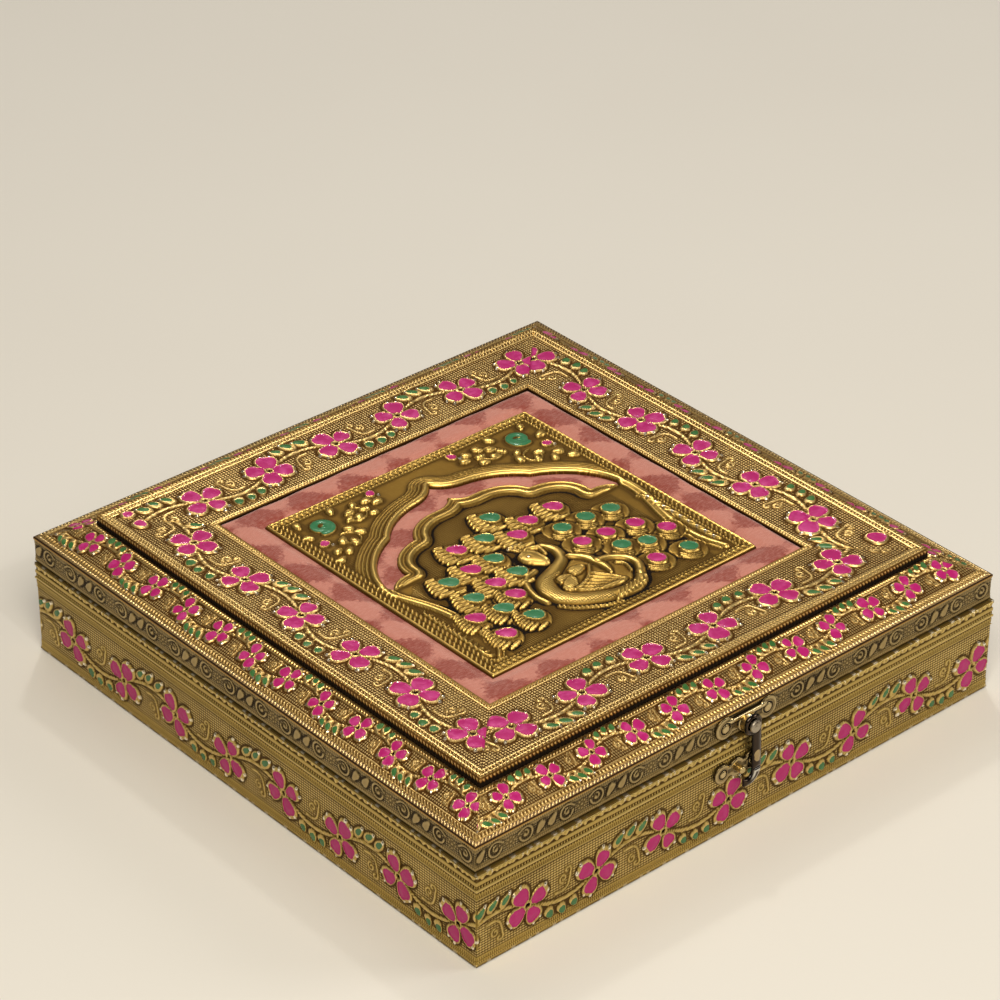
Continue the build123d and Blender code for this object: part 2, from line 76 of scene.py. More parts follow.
class Wire:
    """A number that varies over a surface, with Python's operators for its sums."""

    def __init__(self, nodes: "Nodes", socket: Socket) -> None:
        """Wraps one output socket of a node tree."""
        self.nodes, self.socket = nodes, socket

    def _sum(self, operation: str, *values: "Number") -> "Wire":
        """Adds one Math node for an operation on values."""
        node = self.nodes.add("ShaderNodeMath", {"operation": operation}, dict(enumerate(values)))
        return Wire(self.nodes, node.outputs[0])

    def __add__(self, other: "Number") -> "Wire":
        """Sum."""
        return self._sum("ADD", self, other)

    def __radd__(self, other: float) -> "Wire":
        """Sum, reflected."""
        return self._sum("ADD", other, self)

    def __sub__(self, other: "Number") -> "Wire":
        """Difference."""
        return self._sum("SUBTRACT", self, other)

    def __rsub__(self, other: float) -> "Wire":
        """Difference, reflected."""
        return self._sum("SUBTRACT", other, self)

    def __mul__(self, other: "Number") -> "Wire":
        """Product."""
        return self._sum("MULTIPLY", self, other)

    def __rmul__(self, other: float) -> "Wire":
        """Product, reflected."""
        return self._sum("MULTIPLY", other, self)

    def cos(self) -> "Wire":
        """Cosine of an angle in radians."""
        return self._sum("COSINE", self)

    def at_least(self, other: "Number") -> "Wire":
        """The larger of two values."""
        return self._sum("MAXIMUM", self, other)

    def at_most(self, other: "Number") -> "Wire":
        """The smaller of two values."""
        return self._sum("MINIMUM", self, other)

    def clamp(self) -> "Wire":
        """The value kept between 0 and 1."""
        return self.at_least(0.0).at_most(1.0)

    def step(self, low: float, high: float) -> "Wire":
        """A smooth rise from 0 at low to 1 at high.

        Args:
            low: Where the rise starts.
            high: Where it ends.

        Returns:
            The rise.
        """
        settings = {"interpolation_type": "SMOOTHSTEP"}
        inputs = {"Value": self, "From Min": low, "From Max": high}
        return Wire(self.nodes, self.nodes.add("ShaderNodeMapRange", settings, inputs).outputs[0])


Number = Union[float, Wire]


class Nodes:
    """One material's node tree and the only place where its nodes are made."""

    def __init__(self, name: str) -> None:
        """Starts a material with an empty tree.

        Args:
            name: The material's name.
        """
        self.material = bpy.data.materials.new(name)
        self.material.use_nodes = True
        self.tree = self.material.node_tree
        self.tree.nodes.clear()

    def add(self, kind: str, settings: Optional[dict[str, Any]] = None,
            inputs: Optional[dict[Union[int, str], Any]] = None) -> bpy.types.Node:
        """Adds a node.

        Args:
            kind: The node's Blender type.
            settings: Its properties, set first; "stops" fills a colour ramp.
            inputs: Socket name or number to a value, a Wire or a socket.

        Returns:
            The node.
        """
        node = self.tree.nodes.new(kind)
        for key, value in (settings or {}).items():
            if key == "stops":
                ramp = node.color_ramp
                for place, colour in value[2:]:
                    ramp.elements.new(place).color = (*colour, 1.0)
                for element, (place, colour) in zip((ramp.elements[0], ramp.elements[-1]), value[:2]):
                    element.position, element.color = place, (*colour, 1.0)
            else:
                setattr(node, key, value)
        for key, value in (inputs or {}).items():
            if isinstance(value, Wire):
                self.tree.links.new(value.socket, node.inputs[key])
            elif isinstance(value, Socket):
                self.tree.links.new(value, node.inputs[key])
            elif isinstance(value, tuple) and len(value) == 3 and node.inputs[key].type == "RGBA":
                node.inputs[key].default_value = (*value, 1.0)
            else:
                node.inputs[key].default_value = value
        return node

    def attribute(self, name: str) -> Wire:
        """A number kept on the mesh's points."""
        node = self.add("ShaderNodeAttribute", {"attribute_name": name})
        return Wire(self, node.outputs["Fac"])

    def sheet_place(self) -> tuple[Wire, Wire, Socket]:
        """The UV map's two coordinates in millimetres, and its vector.

        Returns:
            The two coordinates and the vector.
        """
        vector = self.add("ShaderNodeUVMap", {"uv_map": "sheet"}).outputs[0]
        parts = self.add("ShaderNodeSeparateXYZ", {}, {0: vector})
        return Wire(self, parts.outputs[0]) * UV_MM, Wire(self, parts.outputs[1]) * UV_MM, vector

    def solid_place(self) -> Socket:
        """Object coordinates, in metres."""
        return self.add("ShaderNodeTexCoord").outputs["Object"]

    def noise(self, place: Socket, scale: float, detail: float = 2.0,
              roughness: float = 0.5, distortion: float = 0.0) -> Wire:
        """Smooth noise from 0 to 1 around 0.5, with `scale` cells to one unit of the coordinates.

        Args:
            place: Coordinates.
            scale: Cells to one unit of the coordinates.
            detail: Number of finer layers.
            roughness: Strength of the finer layers.
            distortion: How far it is bent.

        Returns:
            The noise.
        """
        inputs = {"Vector": place, "Scale": scale, "Detail": detail, "Roughness": roughness,
                  "Distortion": distortion}
        return Wire(self, self.add("ShaderNodeTexNoise", {}, inputs).outputs[0])

    def stretch(self, place: Socket, scale: Triple, turn: Triple = (0, 0, 0)
                ) -> Socket:
        """Coordinates scaled by `scale` and turned by `turn` radians about each axis."""
        inputs = {"Vector": place, "Scale": scale, "Rotation": turn}
        return self.add("ShaderNodeMapping", {}, inputs).outputs[0]

    def mix(self, share: Number, first: Any, second: Any) -> Socket:
        """A colour that goes from first at share 0 to second at share 1."""
        inputs = {0: share, 6: first, 7: second}
        return self.add("ShaderNodeMix", {"data_type": "RGBA"}, inputs).outputs[2]

    def bump(self, height: Wire, distance: float, strength: float = 1.0) -> Socket:
        """A bent normal from a height of 0 to 1 that stands for `distance` metres."""
        inputs = {"Strength": strength, "Distance": distance, "Height": height}
        return self.add("ShaderNodeBump", {}, inputs).outputs[0]

    def finish(self, **inputs: Any) -> Material:
        """Ends the tree with a Principled shader, and returns the material.

        Args:
            inputs: The shader's inputs by name, with _ for a space.

        Returns:
            The material.
        """
        named = {key.replace("_", " "): value for key, value in inputs.items()}
        shader = self.add("ShaderNodeBsdfPrincipled", {}, named)
        self.add("ShaderNodeOutputMaterial", {}, {0: shader.outputs[0]})
        return self.material


# Finishes.

class Ground(Enum):
    """The fine tooling between raised motifs.

    Each has its pitch along and across in millimetres, how deep it is cut along and across, from 0
    to 1, and how many turns its bars lean by in a millimetre across.
    """

    DASHED = (1.28, 1.06, 0.80, 1.0, 0.0)
    STUDDED = (1.22, 1.22, 1.0, 1.0, 0.0)
    CLOSE = (1.02, 1.02, 1.0, 0.9, 0.12)
    FINE = (0.95, 0.95, 0.85, 0.85, 0.0)


@dataclass(frozen=True)
class EmbossedBrass:
    """Thin brass, tooled in relief, antiqued in its recesses, painted on its flowers, with painted shade in
    its gaps and painted glints on its studs and edges.
    """

    name: str
    ground: Ground
    gold: Colour = (0.72, 0.44, 0.125)
    bright: Colour = (1.00, 0.74, 0.32)
    recess: Colour = (0.115, 0.050, 0.010)
    # painted glint: near white colour laid on polished studs and edges
    silver: Colour = (0.96, 0.92, 0.80)
    rose: Colour = (0.47, 0.013, 0.150)
    rose_pale: Colour = (0.66, 0.075, 0.30)
    leaf: Colour = (0.040, 0.150, 0.034)
    leaf_pale: Colour = (0.12, 0.26, 0.09)
    tarnish: float = 0.10  # darkening all over, 0 to 1
    grime: float = 1.3  # patina in the recesses, with the painted shade that the shade layer adds
    mesh_dark: float = 0.95  # darkening between the studs of the ground
    mesh_depth: float = 0.22  # depth of the ground's studs, mm
    roughness: float = 0.40
    coat: float = 0.0  # clear varnish over the metal
    gloss: float = 0.40  # clear varnish over the paint
    blotches: float = 0.5  # strength of the cloudy darkening
    pit: Colour = (0.012, 0.008, 0.006)  # near black painted shade, where the shade layer lifts the valley past 0.86
    worn: float = 0.35  # how far wear eats into the edge of the paint, mm

    def material(self) -> Material:
        """Builds the material: ground studs are the product of two raised cosines of the sheet's place.

        Returns:
            The material.
        """
        nodes = Nodes(self.name)
        along, across, _ = nodes.sheet_place()
        solid = nodes.solid_place()
        pitch_s, pitch_t, cut_s, cut_t, lean = self.ground.value
        bars = (along * (TURN / pitch_s) + across * (TURN * lean)).cos()
        rows = (across * (TURN / pitch_t)).cos()
        studs = (1.0 - cut_s * 0.5 + bars * (cut_s * 0.5)) * (1.0 - cut_t * 0.5 + rows * (cut_t * 0.5))
        studs = studs.step(0.0, 0.42)
        ground, polish = nodes.attribute("ground"), nodes.attribute("polish")
        valley, crest = nodes.attribute("valley"), nodes.attribute("crest")
        blotch = nodes.noise(solid, 45.0, 3.0, 0.6)
        grain = nodes.noise(solid, 900.0, 2.0, 0.6)

        between = ground * (1.0 - studs)
        # patina, tarnish and blotches, plus the painted shade that the shade layer adds to the valley
        tarnish_and_painted_shade = (valley * self.grime + between * self.mesh_dark + (blotch - 0.5) * self.blotches
                + self.tarnish - crest * 0.75 - polish * 0.5).clamp()
        shine = (crest * 0.9 + ground * studs * 0.75 + (grain - 0.5) * 0.25).clamp()
        metal = nodes.mix(shine, self.gold, self.bright)
        metal = nodes.mix(tarnish_and_painted_shade, metal, self.recess)
        # painted shade: near black where the shade layer lifts the valley past 0.86
        metal = nodes.mix(valley.step(0.86, 1.0), metal, self.pit)
        # painted glint: polished tops drawn near white
        metal = nodes.mix(polish * 0.8, metal, self.silver)

        wear = nodes.noise(solid, 700.0, 2.0, 0.7) - 0.5
        rose, leaf = ((nodes.attribute(name) + wear * self.worn).step(-0.06, 0.10)
                      for name in ("rose", "leaf"))
        paint = rose.at_least(leaf)
        tone = nodes.noise(solid, 260.0, 2.0, 0.5).step(0.40, 0.75)
        colour = nodes.mix(rose, metal, nodes.mix(tone * 0.6, self.rose, self.rose_pale))
        colour = nodes.mix(leaf, colour, nodes.mix(tone * 0.5, self.leaf, self.leaf_pale))

        relief = ground * studs + grain * (0.10 - 0.05 * paint) + tone * paint * 0.45
        return nodes.finish(
            Base_Color=colour,
            Metallic=(1.0 - paint * 0.96).clamp() * (1.0 - tarnish_and_painted_shade * 0.15),
            Roughness=(self.roughness + tarnish_and_painted_shade * 0.20 - shine * 0.06 - polish * 0.22 - paint * 0.06).clamp(),
            Specular_IOR_Level=0.2,
            Coat_Weight=paint * self.gloss + self.coat,
            Coat_Roughness=0.07,
            Normal=nodes.bump(relief, self.mesh_depth * MM),
        )


@dataclass(frozen=True)
class CastMetal:
    """Plain hard metal with a dark patina that gathers in cloudy patches."""

    name: str
    polished: Colour
    patina: Colour
    share: float = 0.5  # how much of the surface the patina takes
    roughness: float = 0.32
    grain: float = 0.03  # depth of the surface's unevenness, mm

    def material(self) -> Material:
        """Builds the material: two metals mixed by noise, with a finely uneven surface.

        Returns:
            The material.
        """
        nodes = Nodes(self.name)
        solid = nodes.solid_place()
        cloud = nodes.noise(solid, 220.0, 4.0, 0.65)
        pits = nodes.noise(solid, 1300.0, 2.0, 0.6)
        dark = (cloud + (pits - 0.5) * 0.3).step(0.66 - 0.4 * self.share, 0.86 - 0.4 * self.share)
        return nodes.finish(
            Base_Color=nodes.mix(dark, self.polished, self.patina),
            Metallic=1.0,
            Roughness=(self.roughness + dark * 0.16 + (pits - 0.5) * 0.15).clamp(),
            Normal=nodes.bump(pits * 0.5 + cloud * 0.5, self.grain * MM),
        )


@dataclass(frozen=True)
class PrintedVelvet:
    """Short-pile velvet printed with soft oval patches in staggered rows."""

    name: str
    pale: Colour = (0.59, 0.215, 0.155)
    dark: Colour = (0.30, 0.048, 0.028)
    painted_sheen: Colour = (0.80, 0.42, 0.34)  # painted sheen: pile leaning towards the light, drawn lighter
    deep: Colour = (0.20, 0.03, 0.02)  # painted shade between the tufts
    period: float = 37.0  # mm, of the longer wave

    def material(self) -> Material:
        """Builds the material: the product of two slanted waves in a smooth threshold, broken by noise.

        Returns:
            The material.
        """
        nodes = Nodes(self.name)
        along, across, vector = nodes.sheet_place()
        wobble = (nodes.noise(vector, 60.0, 3.0, 0.6) - 0.5) * 9.0
        turn = TURN / self.period
        first = ((along * 0.755 - across * 0.656 + wobble) * turn).cos()
        second = ((along * 0.656 + across * 0.755 + wobble * 0.7) * (turn * 1.5)).cos()
        patch = (first * second).step(-0.16, 0.20)
        pile = nodes.noise(vector, 260.0, 3.0, 0.7)
        nap = nodes.noise(nodes.stretch(vector, (1.0, 2.6, 1.0)), 46.0, 2.0)
        colour = nodes.mix(patch, self.pale, self.dark)
        # painted sheen in streaks of the nap, and painted shade between the tufts
        colour = nodes.mix((nap - 0.42).clamp() * 0.8, colour, self.painted_sheen)
        colour = nodes.mix((0.55 - pile).clamp() * 0.8, colour, self.deep)
        return nodes.finish(
            Base_Color=colour,
            Roughness=0.88,
            Sheen_Weight=0.45,
            Sheen_Roughness=0.45,
            Sheen_Tint=(1.0, 0.75, 0.68, 1.0),
            Normal=nodes.bump(pile, 0.35 * MM, 0.7),
        )


@dataclass(frozen=True)
class PlainCloth:
    """Plain velvet or felt with a short fuzzy nap."""

    name: str
    colour: Colour
    shade: Colour
    sheen: float = 0.4

    def material(self) -> Material:
        """Builds the material: pile noise at two scales in colour and bump.

        Returns:
            The material.
        """
        nodes = Nodes(self.name)
        solid = nodes.solid_place()
        pile = nodes.noise(solid, 2400.0, 2.0, 0.7)
        nap = nodes.noise(solid, 120.0, 3.0, 0.6)
        share = ((pile - 0.5) * 0.9 + (nap - 0.5) * 1.3 + 0.45).clamp()
        return nodes.finish(
            Base_Color=nodes.mix(share, self.colour, self.shade),
            Roughness=0.9,
            Sheen_Weight=self.sheen,
            Sheen_Roughness=0.5,
            Normal=nodes.bump(pile, 0.25 * MM, 0.6),
        )


@dataclass(frozen=True)
class SawnWood:
    """Plain light wood with grain along X."""

    name: str
    pale: Colour = (0.46, 0.29, 0.15)
    dark: Colour = (0.27, 0.15, 0.07)
    across: bool = False  # grain along Y instead

    def material(self) -> Material:
        """Builds the material: noise stretched along the grain, with fine pores.

        Returns:
            The material.
        """
        nodes = Nodes(self.name)
        solid = nodes.solid_place()
        turn = (0.0, 0.0, math.pi / 2 if self.across else 0.0)
        rings = nodes.noise(nodes.stretch(solid, (9.0, 160.0, 160.0), turn), 1.0, 4.0, 0.6, 0.6)
        pores = nodes.noise(nodes.stretch(solid, (60.0, 1500.0, 1500.0), turn), 1.0, 2.0, 0.6)
        share = (rings.step(0.35, 0.68) * 0.8 + (pores - 0.5) * 0.6).clamp()
        return nodes.finish(
            Base_Color=nodes.mix(share, self.pale, self.dark),
            Roughness=(0.62 + pores * 0.16).clamp(),
            Normal=nodes.bump(rings * 0.4 + pores * 0.6, 0.12 * MM, 0.6),
        )


# Relief.

class Paint(Enum):
    """What a motif is painted with."""

    BARE = "bare"
    ROSE = "rose"
    LEAF = "leaf"


def smooth(value: Array, low: float, high: float) -> Array:
    """A smooth rise from 0 where value is low to 1 where it is high (three x squared less two x cubed)."""
    share = np.clip((value - low) / (high - low), 0.0, 1.0)
    return share * share * (3.0 - 2.0 * share)


def round_top(share: Array) -> Array:
    """A circular profile: the root of one less the square of the share, and 0 beyond a share of 1."""
    return np.sqrt(np.clip(1 - share ** 2, 0, 1))


def bell(gap: Array, place: float, width: Union[float, Array]) -> Array:
    """1 at a place, falling off as the exponential of less the square of the distance in widths."""
    return np.exp(-(((gap - place) / width) ** 2))


def wave(turns: Array) -> Array:
    """A raised cosine: 1 at whole turns and 0 half way between."""
    return 0.5 + 0.5 * np.cos(TURN * turns)


def heading(angle: float) -> Array:
    """The unit vector at an angle in degrees."""
    return np.array([math.cos(math.radians(angle)), math.sin(math.radians(angle))])


def curve(points: Sequence[Place], steps: int = 8) -> Array:
    """A smooth path through points.

    Each span is a cubic whose slopes at its ends are half the chord between the neighbours
    (a Catmull-Rom spline).

    Args:
        points: Places (s, t) in millimetres.
        steps: Samples to each span.

    Returns:
        An array of shape (n, 2).
    """
    knots = np.asarray(points, float)
    before = np.vstack([2 * knots[0] - knots[1], knots[:-2], knots[-2]])[: len(knots) - 1]
    after = np.vstack([knots[2:], 2 * knots[-1] - knots[-2]])
    first, last = knots[:-1], knots[1:]
    u = (np.arange(steps) / steps)[None, :, None]
    a, b, c, d = (row[:, None, :] for row in (before, first, last, after))
    path = 0.5 * (2 * b + (c - a) * u + (2 * a - 5 * b + 4 * c - d) * u ** 2
                  + (3 * b - a - 3 * c + d) * u ** 3)
    return np.vstack([path.reshape(-1, 2), knots[-1]])


def curl(centre: Place, radius: float, start: float, turns: float, end_radius: float = 0.25,
         steps: int = 26) -> Array:
    """A spiral that winds inwards: its radius falls evenly with the angle.

    Args:
        centre: Middle of the spiral.
        radius: Radius where it starts.
        start: Angle where it starts, in degrees.
        turns: Turns to its end, anticlockwise if positive.
        end_radius: Share of the radius left at the end.
        steps: Samples.

    Returns:
        An array of shape (n, 2).
    """
    share = np.linspace(0.0, 1.0, steps)
    angle = math.radians(start) + TURN * turns * share
    size = radius * (1.0 - (1.0 - end_radius) * share)
    return np.stack([centre[0] + size * np.cos(angle), centre[1] + size * np.sin(angle)], axis=1)


class Relief:
    """Heights, paint and tooling worked on a grid of places (s, t) in millimetres."""

    def __init__(self, s: Array, t: Array, seed: int = 0) -> None:
        """Starts flat.

        Args:
            s: Place along the sheet at each grid point, shape (rows, columns).
            t: Place across it, larger towards the top or the middle of the object.
            seed: Seed of the small unevenness.
        """
        self.s, self.t = s, t
        self.column = np.broadcast_to(np.arange(s.shape[1])[None, :], s.shape)
        # Besides the heights, one layer holds painted shade and one holds polishing with a painted glint.
        self.height, self.ground, self.polish, self.shade = (np.zeros_like(s) for _ in range(4))
        self.paint = {kind: np.full_like(s, -1.0) for kind in (Paint.ROSE, Paint.LEAF)}
        self.random = np.random.default_rng(seed)

    # Rows that run the whole length.

    def raise_all(self, value: Union[float, Array]) -> None:
        """Lifts the sheet to value wherever it is lower."""
        self.height = np.maximum(self.height, value)

    def band(self, low: float, high: float, out: float, into: float) -> Array:
        """1 between two lines and 0 beyond, over soft edges that reach `out` outwards and `into` inwards."""
        return smooth(self.t, low - out, low + into) * (1 - smooth(self.t, high - into, high + out))

    def plateau(self, low: float, high: float, height: float) -> None:
        """A flat band between two lines, with soft edges."""
        self.raise_all(height * self.band(low, high, SOFT, 0.0))

    def field(self, low: float, high: float) -> None:
        """Marks where the ground is tooled, between two lines."""
        self.ground = np.maximum(self.ground, self.band(low, high, 0.0, SOFT))

    def ridge(self, place: float, half: float, height: float) -> None:
        """A bar with a circular top."""
        self.raise_all(height * round_top((self.t - place) / half))

    def rope(self, place: float, half: float, height: float, period: int = 5, lean: float = 1.0,
             low: float = 0.12) -> None:
        """A twisted rope.

        Args:
            place: Its middle.
            half: Half its width.
            height: Height of its crests.
            period: Columns from one crest to the next.
            lean: Half turns of phase from one edge to the other.
            low: Height between crests, as a share.
        """
        turns = self.column / period + lean * (self.t - place) / (4 * half)
        self.raise_all(height * round_top((self.t - place) / half) * (low + (1 - low) * wave(turns)))

    def beads(self, place: float, half: float, height: float, period: int) -> None:
        """A row of round beads, one to every `period` columns."""
        self.rope(place, half, height, period, lean=0.0, low=0.0)

    def fringe(self, low: float, high: float, height: float, period: int = 3) -> None:
        """Short upright bars side by side between two lines."""
        bars = 0.25 + 0.75 * wave(self.column / period)
        self.raise_all(height * self.band(low, high, SOFT / 2, SOFT / 2) * bars)

    # Single motifs.

    def near(self, low: Array, high: Array) -> Array:
        """Flat indices of the grid points in a box from low to high."""
        inside = (self.s > low[0]) & (self.s < high[0]) & (self.t > low[1]) & (self.t < high[1])
        return np.flatnonzero(inside)

    def around(self, s: float, t: float, reach: float) -> tuple[Array, Array, Array]:
        """Flat indices of the points in a square round a place, and how far along and across they are."""
        where = self.near((s - reach, t - reach), (s + reach, t + reach))
        return where, self.s.ravel()[where] - s, self.t.ravel()[where] - t

    def sink(self, where: Array, share: Array, depth: float) -> None:
        """Presses the ground down by depth times share, and smooths its tooling there.

        Args:
            where: Flat indices of the points.
            share: How much of the depth each takes.
            depth: Depth in millimetres.
        """
        flat, ground = self.height.ravel(), self.ground.ravel()
        flat[where] = np.minimum(flat[where], np.maximum(flat[where] - depth * share, 0.0))
        ground[where] *= 1 - share

    def lift(self, where: Array, value: Array, covers: Array) -> None:
        """Lifts points to value where it covers them, and ends the tooling there.

        Args:
            where: Flat indices of the points.
            value: Height of each.
            covers: How much of each is covered.
        """
        flat, ground = self.height.ravel(), self.ground.ravel()
        flat[where] = np.maximum(flat[where], value)
        ground[where] *= 1 - np.clip(covers, 0, 1)

    def stroke(self, path: Array, half: Union[float, Array], height: float, twin: bool = False,
               foot: float = 0.0, moat: float = 0.0, ribs: float = 0.0, lean: float = 0.0,
               ribbed: float = 0.6, paint: Paint = Paint.BARE, power: float = 0.5) -> None:
        """A rounded bar along a path.

        Its height is a power, by default the root, of one less the square of distance over half
        width.  A twin bar has a groove along its middle.  A ribbed bar loses height by a cosine of
        the length along the path, whose phase moves with the signed distance from the path.

        Args:
            path: Places (s, t), shape (n, 2).
            half: Half width, one for all or one to each place of the path.
            height: Height of its crest.
            twin: Whether it has the groove.
            foot: Height that it stands on.
            moat: Depth pressed into the ground beside it.
            ribs: Pitch of its ribs, or 0 for none.
            lean: Turns of phase from its middle to its edge.
            ribbed: Share of height lost between ribs.
            paint: What it is painted with.
            power: 0.5 for a round top, 1 for a parabola with gentler sides.
        """
        halves = np.broadcast_to(np.asarray(half, float), (len(path),))
        reach = halves.max() + 0.6
        where = self.near(path.min(0) - reach, path.max(0) + reach)
        if not len(where):
            return
        place = np.stack([self.s.ravel()[where], self.t.ravel()[where]], axis=1)
        start, along = path[:-1], path[1:] - path[:-1]
        length = np.maximum((along ** 2).sum(1), 1e-9)
        run = np.concatenate([[0.0], np.cumsum(np.sqrt(length))])
        best, width = np.full(len(place), FAR), np.ones(len(place))
        travel, side = np.zeros(len(place)), np.zeros(len(place))
        line = np.arange(len(place))
        for first in range(0, len(start), GROUP):
            part = slice(first, first + GROUP)
            away = place[:, None, :] - start[None, part]
            share = np.clip((away * along[None, part]).sum(2) / length[part], 0, 1)
            gap = np.linalg.norm(away - share[:, :, None] * along[None, part], axis=2)
            pick = gap.argmin(1)
            nearer = gap[line, pick] < best
            index = first + pick
            taken = share[line, pick]
            off = away[line, pick]
            turn = along[index, 0] * off[:, 1] - along[index, 1] * off[:, 0]
            width = np.where(nearer, halves[index] + taken * (halves[index + 1] - halves[index]), width)
            travel = np.where(nearer, run[index] + taken * np.sqrt(length[index]), travel)
            side = np.where(nearer, np.sign(turn), side)
            best = np.where(nearer, gap[line, pick], best)
        if moat:
            self.sink(where, bell(best - width, 0.28, 0.30) * (best > width * 0.8), moat)
        bar = np.clip(1 - (best / width) ** 2, 0, 1) ** power
        keep = best < width
        if ribs:
            bar = bar * (1 - ribbed * (1 - wave(travel / ribs + lean * side * best / width)))
        if twin:
            bar = bar - 0.45 * bell(best, 0.0, 0.22 * width)
        self.lift(where[keep], (foot + (height - foot) * bar)[keep], smooth((width - best)[keep], 0.0, 0.2))
        if paint is not Paint.BARE:
            layer = self.paint[paint].ravel()
            layer[where] = np.maximum(layer[where], width * 0.82 - best)

    def dome(self, s: float, t: float, radius: float, height: float, foot: float = 0.0,
             moat: float = 0.12, polish: float = 0.0) -> None:
        """A round stud with a spherical top, polished with a painted glint or not.

        Args:
            s: Its middle along the sheet.
            t: Its middle across the sheet.
            radius: Its radius.
            height: Height of its top.
            foot: Height that it stands on.
            moat: Depth pressed into the ground round it.
            polish: How polished its top is and how strong the painted glint on it is, from 0 to 1.
        """
        where, ds, dt = self.around(s, t, radius + 0.7)
        gap = np.hypot(ds, dt)
        self.sink(where, bell(gap - radius, 0.2, 0.25), moat)
        keep = gap < radius
        crown = round_top(gap[keep] / radius)
        self.lift(where[keep], foot + (height - foot) * crown, np.ones(keep.sum()))
        # painted glint on the top, and no painted shade there
        self.polish.ravel()[where[keep]] = smooth(crown, 0.2, 0.8) * polish
        self.shade.ravel()[where[keep]] = 0.0

    def ring(self, s: float, t: float, radius: float, half: float, height: float, pit: float = 0.0) -> None:
        """A raised ring round a pit.

        Args:
            s: Its middle along the sheet.
            t: Its middle across the sheet.
            radius: Radius of its crest.
            half: Half its width.
            height: Height of its crest.
            pit: Height of the pit's floor.
        """
        where, ds, dt = self.around(s, t, radius + 1.0)
        gap = np.hypot(ds, dt)
        self.height.ravel()[where[gap < radius]] = pit
        # painted shade in the pit
        self.shade.ravel()[where[gap < radius - half * 0.6]] = 0.9
        for layer in self.paint.values():
            layer.ravel()[where[gap < radius + half]] = -1.0
        bar = round_top((gap - radius) / half)
        keep = bar > 0
        self.lift(where[keep], height * bar[keep], np.ones(keep.sum()))

    def petal(self, s: float, t: float, angle: float, radius: float, height: float,
              paint: Paint = Paint.ROSE, stretch: float = 1.0, point: float = 0.19, lobe: float = 0.0,
              rim: float = 0.32, foot: float = 0.25, crown: float = 0.6, moat: float = 0.18) -> None:
        """A painted drop with a raised rim.

        Its outline's radius is the drop's radius times one less `point` times the sum of 0.3 of the
        cosine of the angle from its outer end and 0.7 of the cosine of three times that angle, so
        that it narrows at its inner end.

        Args:
            s: Place of its middle along the sheet.
            t: Place of its middle across the sheet.
            angle: Direction of its outer end, in degrees.
            radius: Mean radius.
            height: Height of the rim.
            paint: What it is painted with.
            stretch: Length over width.
            point: How much it narrows inwards; negative turns the point outwards.
            lobe: Depth of the notch in its outer end, as a share of the radius.
            rim: Half width of the rim.
            foot: Height of the edge of the painted floor, as a share of the height.
            crown: Height of the middle of the painted floor, as a share of the height.
            moat: Depth pressed into the ground round it.
        """
        where, ds, dt = self.around(s, t, radius * (1.35 * max(stretch, 1.0)) + 1.2)
        turn = math.radians(angle)
        x = (ds * math.cos(turn) + dt * math.sin(turn)) / stretch
        y = -ds * math.sin(turn) + dt * math.cos(turn)
        bearing = np.arctan2(y, x)
        edge = radius * (1 - point * (0.3 * np.cos(bearing) + 0.7 * np.cos(3 * bearing))
                         - lobe * bell(bearing, 0.0, 0.35))
        gap = np.hypot(x, y)
        inside = edge - gap
        self.sink(where, bell(inside, -0.75, 0.35), moat)
        painted = np.where(inside > 0, height * (foot + (crown - foot) * round_top(gap / edge)), 0.0)
        value = np.maximum(painted, height * round_top(inside / rim))
        flat, ground = self.height.ravel(), self.ground.ravel()
        flat[where[inside > 0]] = 0.0
        covered = where[inside > -rim]
        flat[covered] = np.maximum(flat[covered], value[inside > -rim])
        ground[where] *= 1 - smooth(inside, -rim - 0.2, -rim)
        for kind, layer in self.paint.items():
            line = layer.ravel()
            if kind is paint:
                line[where] = np.maximum(line[where], inside - rim * 0.25)
            else:
                line[where[inside > 0]] = -1.0

    def settle(self, dents: float = 0.05) -> None:
        """Adds hand-worked unevenness: a few slow waves of random phase.

        Args:
            dents: Depth of the waves.
        """
        waves = self.random.normal(size=(6, 3))
        sway = sum(a * np.sin(self.s * (0.03 + 0.035 * k) + 3 * b) * np.cos(self.t * 0.12 + 3 * c)
                   for k, (a, b, c) in enumerate(waves))
        self.height = np.maximum(self.height + dents * sway * 0.5, 0.0)

    def blurred(self, across: int, along: int) -> Array:
        """The heights averaged twice over a small window, by running sums.

        Args:
            across: Rows on each side.
            along: Columns on each side.

        Returns:
            The averages.
        """
        result = self.height
        for axis, reach in ((0, across), (1, along)) * 2:
            pads = [(0, 0), (0, 0)]
            pads[axis] = (reach + 1, reach)
            total = np.cumsum(np.pad(result, pads, mode="edge"), axis=axis)
            ahead = np.take(total, np.arange(2 * reach + 1, total.shape[axis]), axis=axis)
            behind = np.take(total, np.arange(0, total.shape[axis] - 2 * reach - 1), axis=axis)
            result = (ahead - behind) / (2 * reach + 1)
        return result

    def layers(self) -> dict[str, Array]:
        """What the finish reads at each point: paint distances, tooling, how sunk or proud it is with painted
        shade added, and polishing with a painted glint.

        Returns:
            One array to each name.
        """
        fine, wide = (self.height - self.blurred(*window) for window in ((2, 3), (5, 7)))
        valley = np.clip(-fine * 4.5, 0, 1) * 0.75 + np.clip(-wide * 1.8, 0, 1) * 0.5
        crest = np.clip(fine * 4.0, 0, 1) * 0.6 + np.clip(wide * 1.6, 0, 1) * 0.5
        return {
            "rose": self.paint[Paint.ROSE],
            "leaf": self.paint[Paint.LEAF],
            "ground": self.ground,
            "valley": np.clip(np.minimum(valley, 0.85) + self.shade, 0, 1),
            "crest": np.clip(crest - self.shade, 0, 1),
            "polish": self.polish,
        }


@dataclass(frozen=True)
class Flower:
    """A four-petalled flower at a place on a sheet, turned by some degrees."""

    s: float
    t: float
    turn: float


